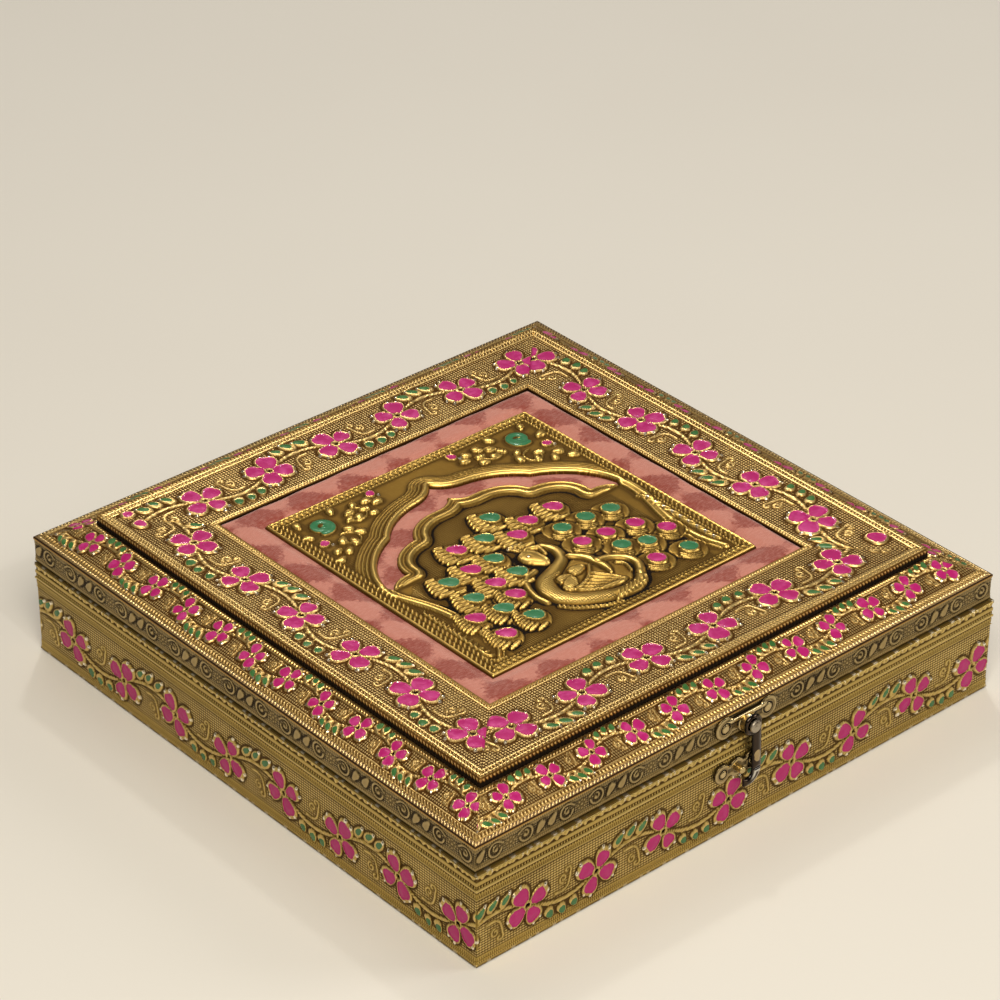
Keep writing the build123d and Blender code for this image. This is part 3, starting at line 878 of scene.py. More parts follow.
@dataclass(frozen=True)
class Vine:
    """A trailing stem with four-petalled flowers, leaves in threes and curled tendrils.

    Sizes are in millimetres at scale 1.
    """

    scale: float = 1.0
    reach: float = 5.5  # flower's middle to a petal's middle
    petal: float = 3.2
    swing: float = 4.8
    stem: float = 0.85
    leaf: float = 1.5
    leaf_gap: float = 4.2  # stem to leaf
    stud: float = 0.62
    high: float = 0.95  # height of the petals' rims
    tilt: float = 26.0  # turn of the first flower; the next turns the other way
    flange: float = 0.55  # how far the bare flange of a petal reaches beyond its paint
    crown: float = 0.78  # height of the painted middle, as a share of the rim
    studs: tuple[float, ...] = (-0.8, 0.8)  # studs beyond each petal: which side of its tip
    drops_up: bool = True  # round drops on the upper side and slanted leaves below, or the reverse

    def grow(self, relief: Relief, places: Sequence[Place], first_up: bool = False,
             limit: float = math.inf) -> None:
        """Grows the vine through flowers, dipping and rising by turns between them.

        Args:
            relief: The sheet.
            places: Where the flowers are.
            first_up: Whether the first stretch of stem rises.
            limit: How far along the sheet flowers open; beyond it the stem goes on without them.
        """
        flowers = [Flower(s, t, self.tilt if (index % 2 == 0) != first_up else -self.tilt)
                   for index, (s, t) in enumerate(places)]
        for index, (a, b) in enumerate(zip(flowers, flowers[1:])):
            up = 1.0 if (index % 2 == 1) != first_up else -1.0
            self.spray(relief, a, b, up)
        for flower in flowers:
            if abs(flower.s) < limit:
                self.bloom(relief, flower)

    def bud(self, relief: Relief, s: float, t: float, angle: float, size: float) -> None:
        """A single rose petal on its flange, as wide as `size` times a flower's petal.

        Args:
            relief: The sheet.
            s: Its middle along the sheet.
            t: Its middle across the sheet.
            angle: Direction of its outer end, in degrees.
            size: Its size beside a flower's petal.
        """
        radius = self.petal * self.scale * size
        relief.petal(s, t, angle, radius + 0.5, self.high * 0.80, Paint.BARE, stretch=1.10, point=0.10,
                     rim=0.36 * self.scale, foot=0.85, crown=0.90)
        relief.petal(s, t, angle, radius, self.high, stretch=1.20, point=0.12, rim=0.30, foot=0.4,
                     crown=self.crown, moat=0.0)

    def spray(self, relief: Relief, a: Flower, b: Flower, up: float) -> None:
        """One stretch of stem, a half wave of the sine, with its leaves and its tendril.

        Args:
            relief: The sheet.
            a: The flower where it starts.
            b: The flower where it ends.
            up: 1 where it bends upwards, -1 where it bends downwards.
        """
        k = self.scale
        span = b.s - a.s
        u = np.linspace(0.0, 1.0, 26)
        arch = np.sin(math.pi * u)
        path = np.stack([a.s + span * u, a.t + (b.t - a.t) * u + up * self.swing * k * arch], axis=1)
        relief.stroke(path, self.stem * k * (0.55 + 0.65 * arch) * 0.86, self.high * 0.85, twin=True,
                      moat=0.15)
        for share in (0.33, 0.505, 0.68):
            s = a.s + span * share + relief.random.normal() * 0.15
            line = a.t + (b.t - a.t) * share + up * self.swing * k * math.sin(math.pi * share)
            t = line + up * self.leaf_gap * k * (0.92 if up > 0 else 1.0)
            size = self.leaf * k * (1 + relief.random.normal() * 0.06)
            relief.stroke(np.array([[s - 0.9 * k, line], [s, t]]), 0.35 * k, self.high * 0.6)
            if (up > 0) == self.drops_up:
                relief.petal(s - 0.45 * k, t - up * 0.95 * k, up * 65, size * 1.10, self.high * 0.85,
                             Paint.BARE, point=-0.10, rim=0.25 * k, foot=0.8, crown=1.0)
                relief.petal(s, t, up * 65, size, self.high * 0.80, Paint.LEAF, stretch=1.08, point=-0.10,
                             rim=0.18, foot=0.6, crown=0.95, moat=0.05)
            else:
                lean = up * 42 + relief.random.normal() * 4
                relief.petal(s - 0.2 * k, t - up * 0.5 * k, lean, size * 1.05, self.high * 0.80, Paint.BARE,
                             stretch=1.75, point=-0.06, rim=0.3 * k, foot=0.8, crown=0.9)
                relief.petal(s, t, lean, size * 0.80, self.high * 0.85, Paint.LEAF, stretch=1.85,
                             point=-0.08, rim=0.18, foot=0.6, crown=0.95, moat=0.0)
                tip = heading(lean) * size * 1.75
                relief.dome(s + tip[0], t + tip[1], self.stud * k, self.high * 0.9, polish=1.0)
        self.tendril(relief, a.s + span * (0.40 if up < 0 else 0.42), a.t, -up)

    def tendril(self, relief: Relief, s: float, t: float, up: float) -> None:
        """A thin stalk that bends away from the stem and ends in two curls.

        Args:
            relief: The sheet.
            s: Where its stalk starts along the sheet.
            t: The same across the sheet.
            up: 1 where it bends upwards, -1 where it bends downwards.
        """
        k = self.scale
        base = t - up * 2.0 * k
        points = ((0.0, 0.0), (3.4, -0.1), (5.6, 1.2), (6.6, 4.0), (6.9, 6.3))
        path = curve([(s + x * k, base + up * y * k) for x, y in points])
        relief.stroke(path if k > 0.8 else path[len(path) // 2:], 0.42 * k, self.high * 0.65, moat=0.08 * k)
        for x, y, radius, start, turns in ((5.6, 7.6, 1.75, -35, 0.80), (3.6, 4.9, 1.9, -95, -1.1)):
            relief.stroke(curl((s + x * k, base + up * y * k), radius * k, start * up, turns * up),
                          0.40 * k, self.high * 0.62, moat=0.05)

    def bloom(self, relief: Relief, flower: Flower) -> None:
        """One flower: four petals, each with a stud beyond its tip, round a pierced ring.

        Args:
            relief: The sheet.
            flower: The flower.
        """
        k = self.scale
        middle = np.array([flower.s, flower.t])
        for number in range(4):
            angle = flower.turn + 90 * number + relief.random.normal() * 3
            size = 1 + relief.random.normal() * 0.06
            way = heading(angle)
            outer = way * (self.reach + self.flange) * k
            relief.petal(*(middle + outer), angle, (self.petal + 0.25) * k * size, self.high * 0.80,
                         Paint.BARE, stretch=1.10, point=0.10, rim=0.36 * k, foot=0.85, crown=0.90)
            for side in self.studs:
                tip = way * (self.reach + self.petal * 1.12 + 0.35) * k
                shift = side * 2.1 * k
                relief.dome(flower.s + tip[0] - way[1] * shift, flower.t + tip[1] + way[0] * shift,
                            self.stud * k * (1 + relief.random.normal() * 0.12), self.high, polish=1.0)
            relief.petal(*(middle + way * self.reach * k), angle, self.petal * k * size, self.high,
                         stretch=1.12, point=0.12, lobe=0.04, rim=0.30 * k ** 0.5, foot=0.4,
                         crown=self.crown, moat=0.0)
        relief.ring(flower.s, flower.t, 1.35 * k, 0.45 * k, self.high)


# Meshes.

def make_piece(name: str, points: Array, faces: list[Array], body: str,
               material: Material, flat_faces: int = 0, layers: Optional[dict[str, Array]] = None,
               uv: Optional[Array] = None) -> bpy.types.Object:
    """Puts a closed surface, turned outwards, into a new object that rides on a body.

    Args:
        name: Name of the piece.
        points: Places in millimetres, shape (n, 3).
        faces: Arrays of point numbers, each of shape (count, corners).
        body: The body that carries it.
        material: Its finish.
        flat_faces: How many faces at the end of the list stay flat-shaded.
        layers: Numbers kept on the points, by name.
        uv: Places on the sheet in millimetres, shape (n, 2).

    Returns:
        The object.
    """
    if enclosed(points, faces) < 0:
        faces = [block[:, ::-1] for block in faces]
    mesh = bpy.data.meshes.new(name)
    loops = np.concatenate([np.asarray(block).reshape(-1) for block in faces]).astype(np.int32)
    totals = np.concatenate([np.full(len(block), block.shape[1]) for block in faces]).astype(np.int32)
    starts = np.concatenate([[0], np.cumsum(totals)[:-1]]).astype(np.int32)
    mesh.vertices.add(len(points))
    mesh.vertices.foreach_set("co", (points * MM).astype(np.float32).ravel())
    mesh.loops.add(len(loops))
    mesh.loops.foreach_set("vertex_index", loops)
    mesh.polygons.add(len(totals))
    mesh.polygons.foreach_set("loop_start", starts)
    mesh.polygons.foreach_set("loop_total", totals)
    rounded = np.ones(len(totals), bool)
    if flat_faces:
        rounded[-flat_faces:] = False
    mesh.polygons.foreach_set("use_smooth", rounded)
    for key, values in (layers or {}).items():
        layer = mesh.attributes.new(key, "FLOAT", "POINT")
        layer.data.foreach_set("value", values.astype(np.float32).ravel())
    if uv is not None:
        sheet = mesh.uv_layers.new(name="sheet")
        sheet.data.foreach_set("uv", (uv[loops] / UV_MM).astype(np.float32).ravel())
    mesh.update(calc_edges=True)
    mesh.validate()
    mesh.materials.append(material)
    piece = bpy.data.objects.new(name, mesh)
    bpy.context.scene.collection.objects.link(piece)
    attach(piece, body)
    LOG.info("%s: %d points, %d faces on %s", name, len(points), len(totals), body)
    return piece


def grid_faces(rows: int, columns: int, wrap_rows: bool = False) -> Array:
    """Quads between neighbours of a grid numbered row by row; wrap_rows joins the last row to the first.

    Args:
        rows: Number of rows.
        columns: Number of columns.
        wrap_rows: Whether the last row joins the first.

    Returns:
        Point numbers, shape (faces, 4).
    """
    r = np.arange(rows if wrap_rows else rows - 1)[:, None]
    c = np.arange(columns - 1)[None, :]
    below = (r + 1) % rows
    quads = np.stack([r * columns + c, r * columns + c + 1, below * columns + c + 1, below * columns + c],
                     axis=-1)
    return quads.reshape(-1, 4)


def enclosed(points: Array, faces: list[Array]) -> float:
    """Signed volume of a closed surface: a sixth of the sum of triple products over its triangles.

    Args:
        points: Places in millimetres, shape (n, 3).
        faces: Arrays of point numbers.

    Returns:
        The volume, negative if they face inwards.
    """
    total = 0.0
    for block in faces:
        a = points[block[:, 0]]
        for k in range(1, block.shape[1] - 1):
            cross = np.cross(points[block[:, k]], points[block[:, k + 1]])
            total += float(np.einsum("ij,ij->i", a, cross).sum())
    return total / 6.0


def slab(front: Array, behind: Array) -> tuple[Array, list[Array]]:
    """Closes two grids of the same shape into one solid.

    Args:
        front: Places, shape (rows, columns, 3).
        behind: Places behind them.

    Returns:
        Points and faces.
    """
    rows, columns = front.shape[:2]
    quads = grid_faces(rows, columns)
    index = np.arange(rows * columns).reshape(rows, columns)
    rim = np.concatenate([index[0], index[1:, -1], index[-1, -2::-1], index[-2:0:-1, 0]])
    ahead = np.roll(rim, -1)
    deep = rows * columns
    walls = np.stack([ahead, rim, rim + deep, ahead + deep], axis=1)
    points = np.vstack([front.reshape(-1, 3), behind.reshape(-1, 3)])
    return points, [quads, quads[:, ::-1] + deep, walls]


def spread(marked: Array, pairs: Array) -> Array:
    """Marks every face that can be reached from a marked one through pairs of neighbours.

    Args:
        marked: Which faces are marked.
        pairs: Numbers of neighbouring faces, shape (n, 2).

    Returns:
        The marks when no more can be reached.
    """
    while True:
        grown = marked.copy()
        grown[pairs[marked[pairs[:, 0]], 1]] = True
        grown[pairs[marked[pairs[:, 1]], 0]] = True
        if (grown == marked).all():
            return marked
        marked = grown


def without_holes(faces: Array, outline: Array, count: int) -> Array:
    """Drops the triangles of a filled outline that lie in its holes.

    A triangle in a hole runs along the outline the same way as the wall does, and so does every
    triangle that joins it without crossing the outline.

    Args:
        faces: Triangles, all turned the same way.
        outline: Directed edges, each as the wall beside it runs.
        count: Number of points.

    Returns:
        The triangles outside the holes.
    """
    edges = np.stack([faces, np.roll(faces, -1, axis=1)], axis=-1).reshape(-1, 2)
    owner = np.repeat(np.arange(len(faces)), 3)
    along = np.isin(edges @ [count, 1], outline @ [count, 1])
    free = ~along & ~np.isin(edges @ [1, count], outline @ [count, 1])
    hole = np.zeros(len(faces), bool)
    hole[owner[along]] = True
    key = np.sort(edges[free], axis=1) @ [count, 1]
    order = np.argsort(key, kind="stable")
    same = key[order][1:] == key[order][:-1]
    mates = owner[free][order]
    return faces[~spread(hole, np.stack([mates[:-1][same], mates[1:][same]], axis=1))]


def cut_out(relief: Relief, distance: Distance, thick: float) -> tuple[Array, list[Array], Array, int]:
    """Cuts a relief to an outline and closes it with straight edges and a flat back.

    Cells whose middle is inside are kept, and the points along their edge move onto the outline by
    the distance times its slope.  The back is the flat triangulation of the edge alone.

    Args:
        relief: The worked grid.
        distance: Distance inside the outline at places (s, t), negative outside.
        thick: Depth of the flat back below height 0.

    Returns:
        Points (s, t, height), faces, the grid number of each point, and how many faces are flat.
    """
    rows, columns = relief.s.shape
    middle_s = 0.5 * (relief.s[:-1, :-1] + relief.s[1:, 1:])
    middle_t = 0.5 * (relief.t[:-1, :-1] + relief.t[1:, 1:])
    keep = distance(middle_s, middle_t) > 0
    for _ in range(4):
        a, b, c, d = keep[:-1, :-1], keep[:-1, 1:], keep[1:, :-1], keep[1:, 1:]
        pinched = (a & d & ~b & ~c) | (b & c & ~a & ~d)
        for part in (a, b, c, d):
            part |= pinched
    used, quads = np.unique(grid_faces(rows, columns)[keep.ravel()], return_inverse=True)
    quads = quads.reshape(-1, 4)
    edges = np.stack([quads, np.roll(quads, -1, axis=1)], axis=-1).reshape(-1, 2)
    count = len(used)
    edges = edges[~np.isin(edges @ [count, 1], edges @ [1, count])]
    s, t = relief.s.ravel()[used], relief.t.ravel()[used]
    rim = np.unique(edges)
    step = 0.01
    for _ in range(3):
        here = distance(s[rim], t[rim])
        slope_s = (distance(s[rim] + step, t[rim]) - here) / step
        slope_t = (distance(s[rim], t[rim] + step) - here) / step
        steep = np.maximum(slope_s ** 2 + slope_t ** 2, 0.3)
        s[rim] -= here * slope_s / steep
        t[rim] -= here * slope_t / steep
    front = np.stack([s, t, relief.height.ravel()[used]], axis=1)
    edge = front[rim, :2]
    points = np.vstack([front, np.column_stack([edge, np.full(len(rim), -thick)])])
    deep = np.full(count, -1)
    deep[rim] = count + np.arange(len(rim))
    walls = np.stack([edges[:, 1], edges[:, 0], deep[edges[:, 0]], deep[edges[:, 1]]], axis=1)
    outline = deep[edges] - count
    places = [Vector(place) for place in edge]
    _, _, filled, origins, *_ = delaunay_2d_cdt(places, outline.tolist(), [], 2, 1e-7)
    number = np.array([origin[0] for origin in origins])
    back = number[np.array([face for face in filled if len(face) == 3])]
    area = np.cross(edge[back[:, 1]] - edge[back[:, 0]], edge[back[:, 2]] - edge[back[:, 0]])
    first = front[quads[0, :3], :2]
    wrong = area * np.cross(first[1] - first[0], first[2] - first[0]) > 0
    back[wrong] = back[wrong][:, ::-1]
    back = without_holes(back, outline, len(rim)) + count
    return points, [quads, walls, back], np.concatenate([used, used[rim]]), len(walls) + len(back)


def cut_piece(name: str, relief: Relief, outline: Distance, thick: float, stand: Callable[[Array], Array],
              body: str, material: Material, nodes: Sequence[str]) -> None:
    """Cuts a relief out, stands it in its place and replaces CAD nodes with it.

    Args:
        name: Name of the piece.
        relief: The worked grid.
        outline: Distance inside its outline.
        thick: Depth of its flat back below height 0.
        stand: Turns points (s, t, height) into places on the box.
        body: The body that carries it.
        material: Its finish.
        nodes: The nodes that it stands for.
    """
    points, faces, origin, flat = cut_out(relief, outline, thick)
    layers = {key: value.ravel()[origin] for key, value in relief.layers().items()}
    piece = make_piece(name, stand(points), faces, body, material, flat_faces=flat, layers=layers,
                       uv=points[:, :2])
    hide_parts(*nodes)


@dataclass
class Section:
    """Rows of a strip's outer face, from its inner or upper edge outwards and down, and its back.

    Each row has a place (out from the middle of the object, up from the floor), a coordinate across
    the ornament and the share of relief it takes.  The direction that relief rises in is the row
    path's own direction turned a quarter anticlockwise.
    """

    back: list[Place]
    rows: list[tuple[Array, Array, Array, Array]] = field(default_factory=list)

    def run(self, start: Place, end: Place, step: float, across: Place = (0.0, 0.0),
            share: float = 0.0) -> None:
        """Adds evenly spaced rows from start to end, without end itself.

        Args:
            start: Place (out, up) of the first row.
            end: Place where the next run starts.
            step: Spacing.
            across: Ornament coordinate at start and end.
            share: Share of relief.
        """
        count = max(1, round(math.dist(start, end) / step))
        u = np.arange(count) / count
        out, up, place = (a + (b - a) * u for a, b in (*zip(start, end), across))
        self.rows.append((out, up, place, np.full(count, share)))

    def arrays(self) -> tuple[Array, Array, Array, Array, Array, Array]:
        """Places, normals, ornament coordinate and relief share of all rows.

        Returns:
            One array to each.
        """
        out, up, across, share = (np.concatenate(parts) for parts in zip(*self.rows))
        d_out, d_up = np.gradient(out), np.gradient(up)
        length = np.hypot(d_out, d_up)
        return out, up, -d_up / length, d_out / length, across, share


class Side(Enum):
    """The four sides, as the quarter turns that bring a strip made for the front to each."""

    FRONT = 0
    RIGHT = 1
    BACK = 2
    LEFT = 3


def turned(points: Array, quarters: int, middle_y: float) -> Array:
    """Points turned by quarter turns about Z and moved to the middle of their rectangle.

    Args:
        points: Places in millimetres, shape (n, 3).
        quarters: Number of quarter turns.
        middle_y: How far the middle lies back.

    Returns:
        The places after the turn.
    """
    x, y, z = points.T
    for _ in range(quarters):
        x, y = -y, x
    return np.stack([x, y + middle_y, z], axis=1)


@dataclass
class Strip:
    """A mitred strip of embossed sheet on the four sides of a square."""

    body: str
    slot: str
    node: str  # name of the node, with {} for the side
    piece: str  # name of the piece, with {} for the side
    middle_y: float
    depth: float  # height of the highest relief above the sheet
    finish: EmbossedBrass

    def section(self) -> Section:
        """The strip's cross-section."""
        raise NotImplementedError

    def rows(self, relief: Relief) -> None:
        """Rows that run the whole length, the same on every side."""
        raise NotImplementedError

    def motifs(self, relief: Relief, side: Side) -> None:
        """Motifs of one side."""
        raise NotImplementedError

    def build(self) -> None:
        """Builds the four sides.

        A point of a row lies along the side at u times its distance out from the middle, with u from
        -1 to 1, so that the ends are cut at 45 degrees and meet their neighbours.
        """
        section = self.section()
        out, up, n_out, n_up, across, share = section.arrays()
        columns = int(round(2 * out.max() / COLUMN / 15)) * 15 + 1
        u = np.linspace(-1.0, 1.0, columns)[None, :]
        s, t = u * out[:, None], np.repeat(across[:, None], columns, axis=1)
        fade = smooth(np.abs(u) * out.max(), out.max() - 1.1, out.max() - 0.2)
        back = np.array(section.back)
        inner = np.stack([u * back[:, :1], np.repeat(-back[:, :1], columns, 1),
                          np.repeat(back[:, 1:], columns, 1)], axis=-1).reshape(-1, 3)
        total, spare = len(out) + len(back), len(back) * columns
        quads = np.split(grid_faces(total, columns, wrap_rows=True), [(len(out) - 1) * (columns - 1)])
        loop = np.arange(total) * columns
        faces = [*quads, loop[None, :], (loop + columns - 1)[::-1][None, :]]
        uv = np.concatenate([np.stack([s.ravel(), t.ravel()], axis=1), np.zeros((spare, 2))])
        material = self.finish.material()
        for side in Side:
            name = side.name.lower()
            relief = Relief(s, t, seed=11 + side.value)
            self.rows(relief)
            ends = relief.height.mean(axis=1, keepdims=True)
            self.motifs(relief, side)
            relief.settle()
            relief.height = relief.height * (1 - fade) + ends * fade
            rise = np.clip(relief.height, 0, self.depth) * share[:, None]
            far = out[:, None] + n_out[:, None] * rise
            high = up[:, None] + n_up[:, None] * rise
            outer = np.stack([u * far, -far, high], axis=-1).reshape(-1, 3)
            points = turned(np.vstack([outer, inner]), side.value, self.middle_y)
            layers = {key: np.append(value.ravel(), np.full(spare, -1.0 if key in ("rose", "leaf") else 0.0))
                      for key, value in relief.layers().items()}
            piece = make_piece(self.piece.format(name), points, faces, self.body, material,
                               flat_faces=len(quads[1]) + 2, layers=layers, uv=uv)
            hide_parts(self.node.format(name))


# The box's main lines, in millimetres: halves are measured out from the middle, heights up from the floor.
TRAY_HALF = 127.0
TRAY_TOP = 39.5
LID_HALF = 126.25
LID_MIDDLE = 0.75  # how far the lid's middle lies behind the tray's
LID_LOW = 39.9
ARRIS = 50.7  # where the lid's upright sides meet its bevels
BEVEL_IN = 109.2
BEVEL_TOP = 57.3
FRAME_IN = 76.5
FRAME_OUTER_TOP = 61.1
FRAME_INNER_TOP = 59.6
PANEL_TOP = 56.1
VELVET_TOP = 57.7


@dataclass
class TraySides(Strip):
    """The embossed sheets round the tray, turned over its rim."""

    vine: Vine = Vine(petal=3.1, stud=0.75, drops_up=False)

    def section(self) -> Section:
        """Fold over the rim, the face from top to bottom, and the back.

        Returns:
            The section.
        """
        face = TRAY_HALF - self.depth
        made = Section(back=[(125.6, 0.6), (125.6, 39.0), (122.1, 39.0)])
        made.run((122.1, TRAY_TOP), (126.3, TRAY_TOP), 1.0)
        made.run((126.3, TRAY_TOP), (126.75, 39.42), 0.4)
        made.run((126.75, 39.42), (face, 39.1), 0.4)
        made.run((face, 39.1), (face, 28.3), 0.33, (39.1, 28.3), 1.0)
        made.run((face, 28.3), (face, 4.2), 0.50, (28.3, 4.2), 1.0)
        made.run((face, 4.2), (face, 0.9), 0.33, (4.2, 0.9), 1.0)
        made.run((126.7, 0.75), (126.2, 0.6), 0.3)
        return made

    def rows(self, relief: Relief) -> None:
        """Lip, bead rows, smooth ridges and fringe, from the rim down.

        Args:
            relief: The sheet.
        """
        relief.plateau(-1.0, 50.0, 0.26)
        relief.plateau(38.2, 42.0, 0.70)
        relief.plateau(34.9, 36.3, 0.62)
        relief.beads(34.0, 0.62, 0.80, 4)
        relief.ridge(32.75, 0.80, 0.88)
        relief.beads(31.4, 0.58, 0.78, 4)
        relief.ridge(30.75, 0.24, 0.60)
        relief.fringe(29.55, 30.35, 0.62)
        relief.ridge(28.95, 0.26, 0.62)
        relief.ridge(4.35, 0.22, 0.55)
        relief.fringe(3.05, 3.95, 0.62)
        relief.ridge(2.65, 0.18, 0.50)
        relief.fringe(1.45, 2.35, 0.66)
        relief.ridge(0.95, 0.38, 0.80)
        relief.field(4.6, 28.6)
        # painted shade on the fold over the rim and the turned bottom edge, and painted glints in spots along
        # them
        relief.shade = np.where(relief.t < 0.05, 0.15, relief.shade)
        shine = smooth(np.sin(relief.s * 1.7) + np.sin(relief.s * 0.61), 0.5, 1.3)
        relief.polish = np.where(relief.t < 0.05, 0.6 * shine, relief.polish)

    def motifs(self, relief: Relief, side: Side) -> None:
        """Scallops along the rim and the vine.

        Args:
            relief: The sheet.
            side: The side that it is for; not used.
        """
        ripple = 0.35 * np.sin(relief.s * 1.9 + 0.7 * np.sin(relief.s * 0.31))
        scallop = 36.9 + 0.55 * np.abs(np.cos(relief.s * math.pi / 4.2)) + ripple
        lump = 0.5 + 0.5 * np.cos(relief.s * TURN / 2.1 + 2.0 * np.sin(relief.s * 0.17))
        hem = smooth(relief.t, scallop - 0.15, scallop + 0.15)
        relief.raise_all(hem * (0.66 + 0.20 * lump * smooth(relief.t, 39.4, 38.2)))
        # painted glints on bright lumps along the scalloped lip
        bright = smooth(np.sin(relief.s * 0.83) + np.sin(relief.s * 0.29), 0.3, 0.9)
        worn = 0.6 * hem * smooth(lump, 0.85, 1.0) * (relief.t > 37.9) * bright
        relief.polish = np.maximum(relief.polish, worn)
        places = [(-134.5, 13.9)]
        places += [(-103.1 + 31.4 * k, 15.5 if k % 2 == 0 else 13.9) for k in range(8)]
        self.vine.grow(relief, places + [(148.0, 15.5)], first_up=True)


@dataclass
class LidSides(Strip):
    """The dark, shallow sheets on the upright sides of the lid."""

    def section(self) -> Section:
        """The face from the arris down, and the back.

        Returns:
            The section.
        """
        face = LID_HALF - self.depth
        made = Section(back=[(LID_HALF - 1.0, LID_LOW), (LID_HALF - 1.0, 49.7)])
        made.run((face - 0.1, 49.75), (face, 49.65), 0.2)
        made.run((face, 49.65), (face, 40.2), 0.33, (49.65, 40.2), 1.0)
        made.run((LID_HALF - 0.15, 40.0), (LID_HALF - 0.4, LID_LOW), 0.3)
        return made

    def rows(self, relief: Relief) -> None:
        """Fringe rows at the top and the bottom.

        Args:
            relief: The sheet.
        """
        relief.plateau(30.0, 60.0, 0.14)
        relief.fringe(48.6, 49.4, 0.42)
        relief.ridge(48.1, 0.22, 0.32)
        relief.ridge(42.0, 0.22, 0.32)
        relief.fringe(40.6, 41.5, 0.42)
        relief.plateau(39.0, 40.4, 0.50)
        relief.field(42.2, 47.9)

    def motifs(self, relief: Relief, side: Side) -> None:
        """Pairs of drops, scrolls with a bud, and dotted florets, every 32 mm.

        Args:
            relief: The sheet.
            side: The side that it is for; not used.
        """
        for middle in 32.0 * np.arange(-4, 5) + 2.0:
            for way in (-1, 1):
                relief.petal(middle + way * 2.6, 45.0, 145.0 + way * 90.0, 1.25, 0.45, Paint.BARE,
                             stretch=1.75, point=0.20, rim=0.2, foot=0.95, crown=1.0, moat=0.10)
                relief.stroke(curl((middle + way * 9.2, 45.0), 2.9, 90 - way * 10, way * 0.75, 0.95),
                              0.42, 0.46, moat=0.10)
                relief.stroke(curve([(middle + way * 9.0, 48.0), (middle + way * 11.0, 47.4),
                                     (middle + way * 12.6, 46.3)]), 0.40, 0.44, moat=0.08)
                relief.stroke(curl((middle + way * 9.4, 45.1), 1.5, 90, way * 0.8, 0.3), 0.32, 0.44,
                              moat=0.06)
                relief.dome(middle + way * 9.6, 44.6, 0.75, 0.45, moat=0.06)
            floret = np.array([middle + 16.0, 45.0])
            for angle in range(0, 360, 45):
                relief.dome(*(floret + 1.7 * heading(angle)), 0.42, 0.36, moat=0.05)
            relief.dome(*floret, 0.5, 0.40, moat=0.05)


@dataclass
class Bevels(Strip):
    """The embossed sheets on the lid's sloping border."""

    vine: Vine = Vine(scale=0.62, petal=3.1, reach=5.2, swing=4.5, leaf=1.9)

    def section(self) -> Section:
        """The slope from its upper edge down to the arris, and the back.

        Returns:
            The section.
        """
        width, rise = LID_HALF - BEVEL_IN, BEVEL_TOP - ARRIS
        length = math.hypot(width, rise)
        sin, cos = rise / length, width / length

        def place(inset: float, sunk: float) -> Place:
            """A point of the slope at an inset from the arris, sunk below its face."""
            return LID_HALF - inset - sunk * sin, ARRIS + inset * rise / width - sunk * cos

        low = self.depth
        made = Section(back=[(LID_HALF, ARRIS - 1.2), place(width, 1.3)])
        made.run(place(width, low), place(14.4, low), 0.33, (width, 14.4), 1.0)
        made.run(place(14.4, low), place(4.6, low), 0.45, (14.4, 4.6), 1.0)
        made.run(place(4.6, low), place(0.25, low), 0.33, (4.6, 0.25), 1.0)
        made.run((LID_HALF - 0.12, ARRIS - 0.25), (LID_HALF, ARRIS - 0.6), 0.2)
        return made

    def rows(self, relief: Relief) -> None:
        """Edge bar, plait and thin lines below, a bead row above.

        Args:
            relief: The sheet.
        """
        relief.plateau(-1.0, 20.0, 0.22)
        relief.beads(0.95, 0.80, 0.95, 5)
        relief.ridge(2.00, 0.24, 0.60)
        relief.rope(2.95, 0.72, 0.90, 5, 1.0)
        relief.ridge(3.90, 0.26, 0.66)
        relief.ridge(15.25, 0.24, 0.60)
        relief.beads(16.15, 0.66, 0.90, 5)
        relief.field(4.2, 14.9)
        # painted glint along the arris beads, and painted shade on the turned edge below them
        relief.polish = 0.12 * smooth(relief.t, 1.9, 1.5) * (relief.t > 0)
        relief.shade = np.where(relief.t < 0.05, 0.97, relief.shade)

    def motifs(self, relief: Relief, side: Side) -> None:
        """The smaller vine."""
        places = [(-122.4 + 19.4 * k, 10.1 if k % 2 == 0 else 10.5) for k in range(13)]
        self.vine.grow(relief, places)


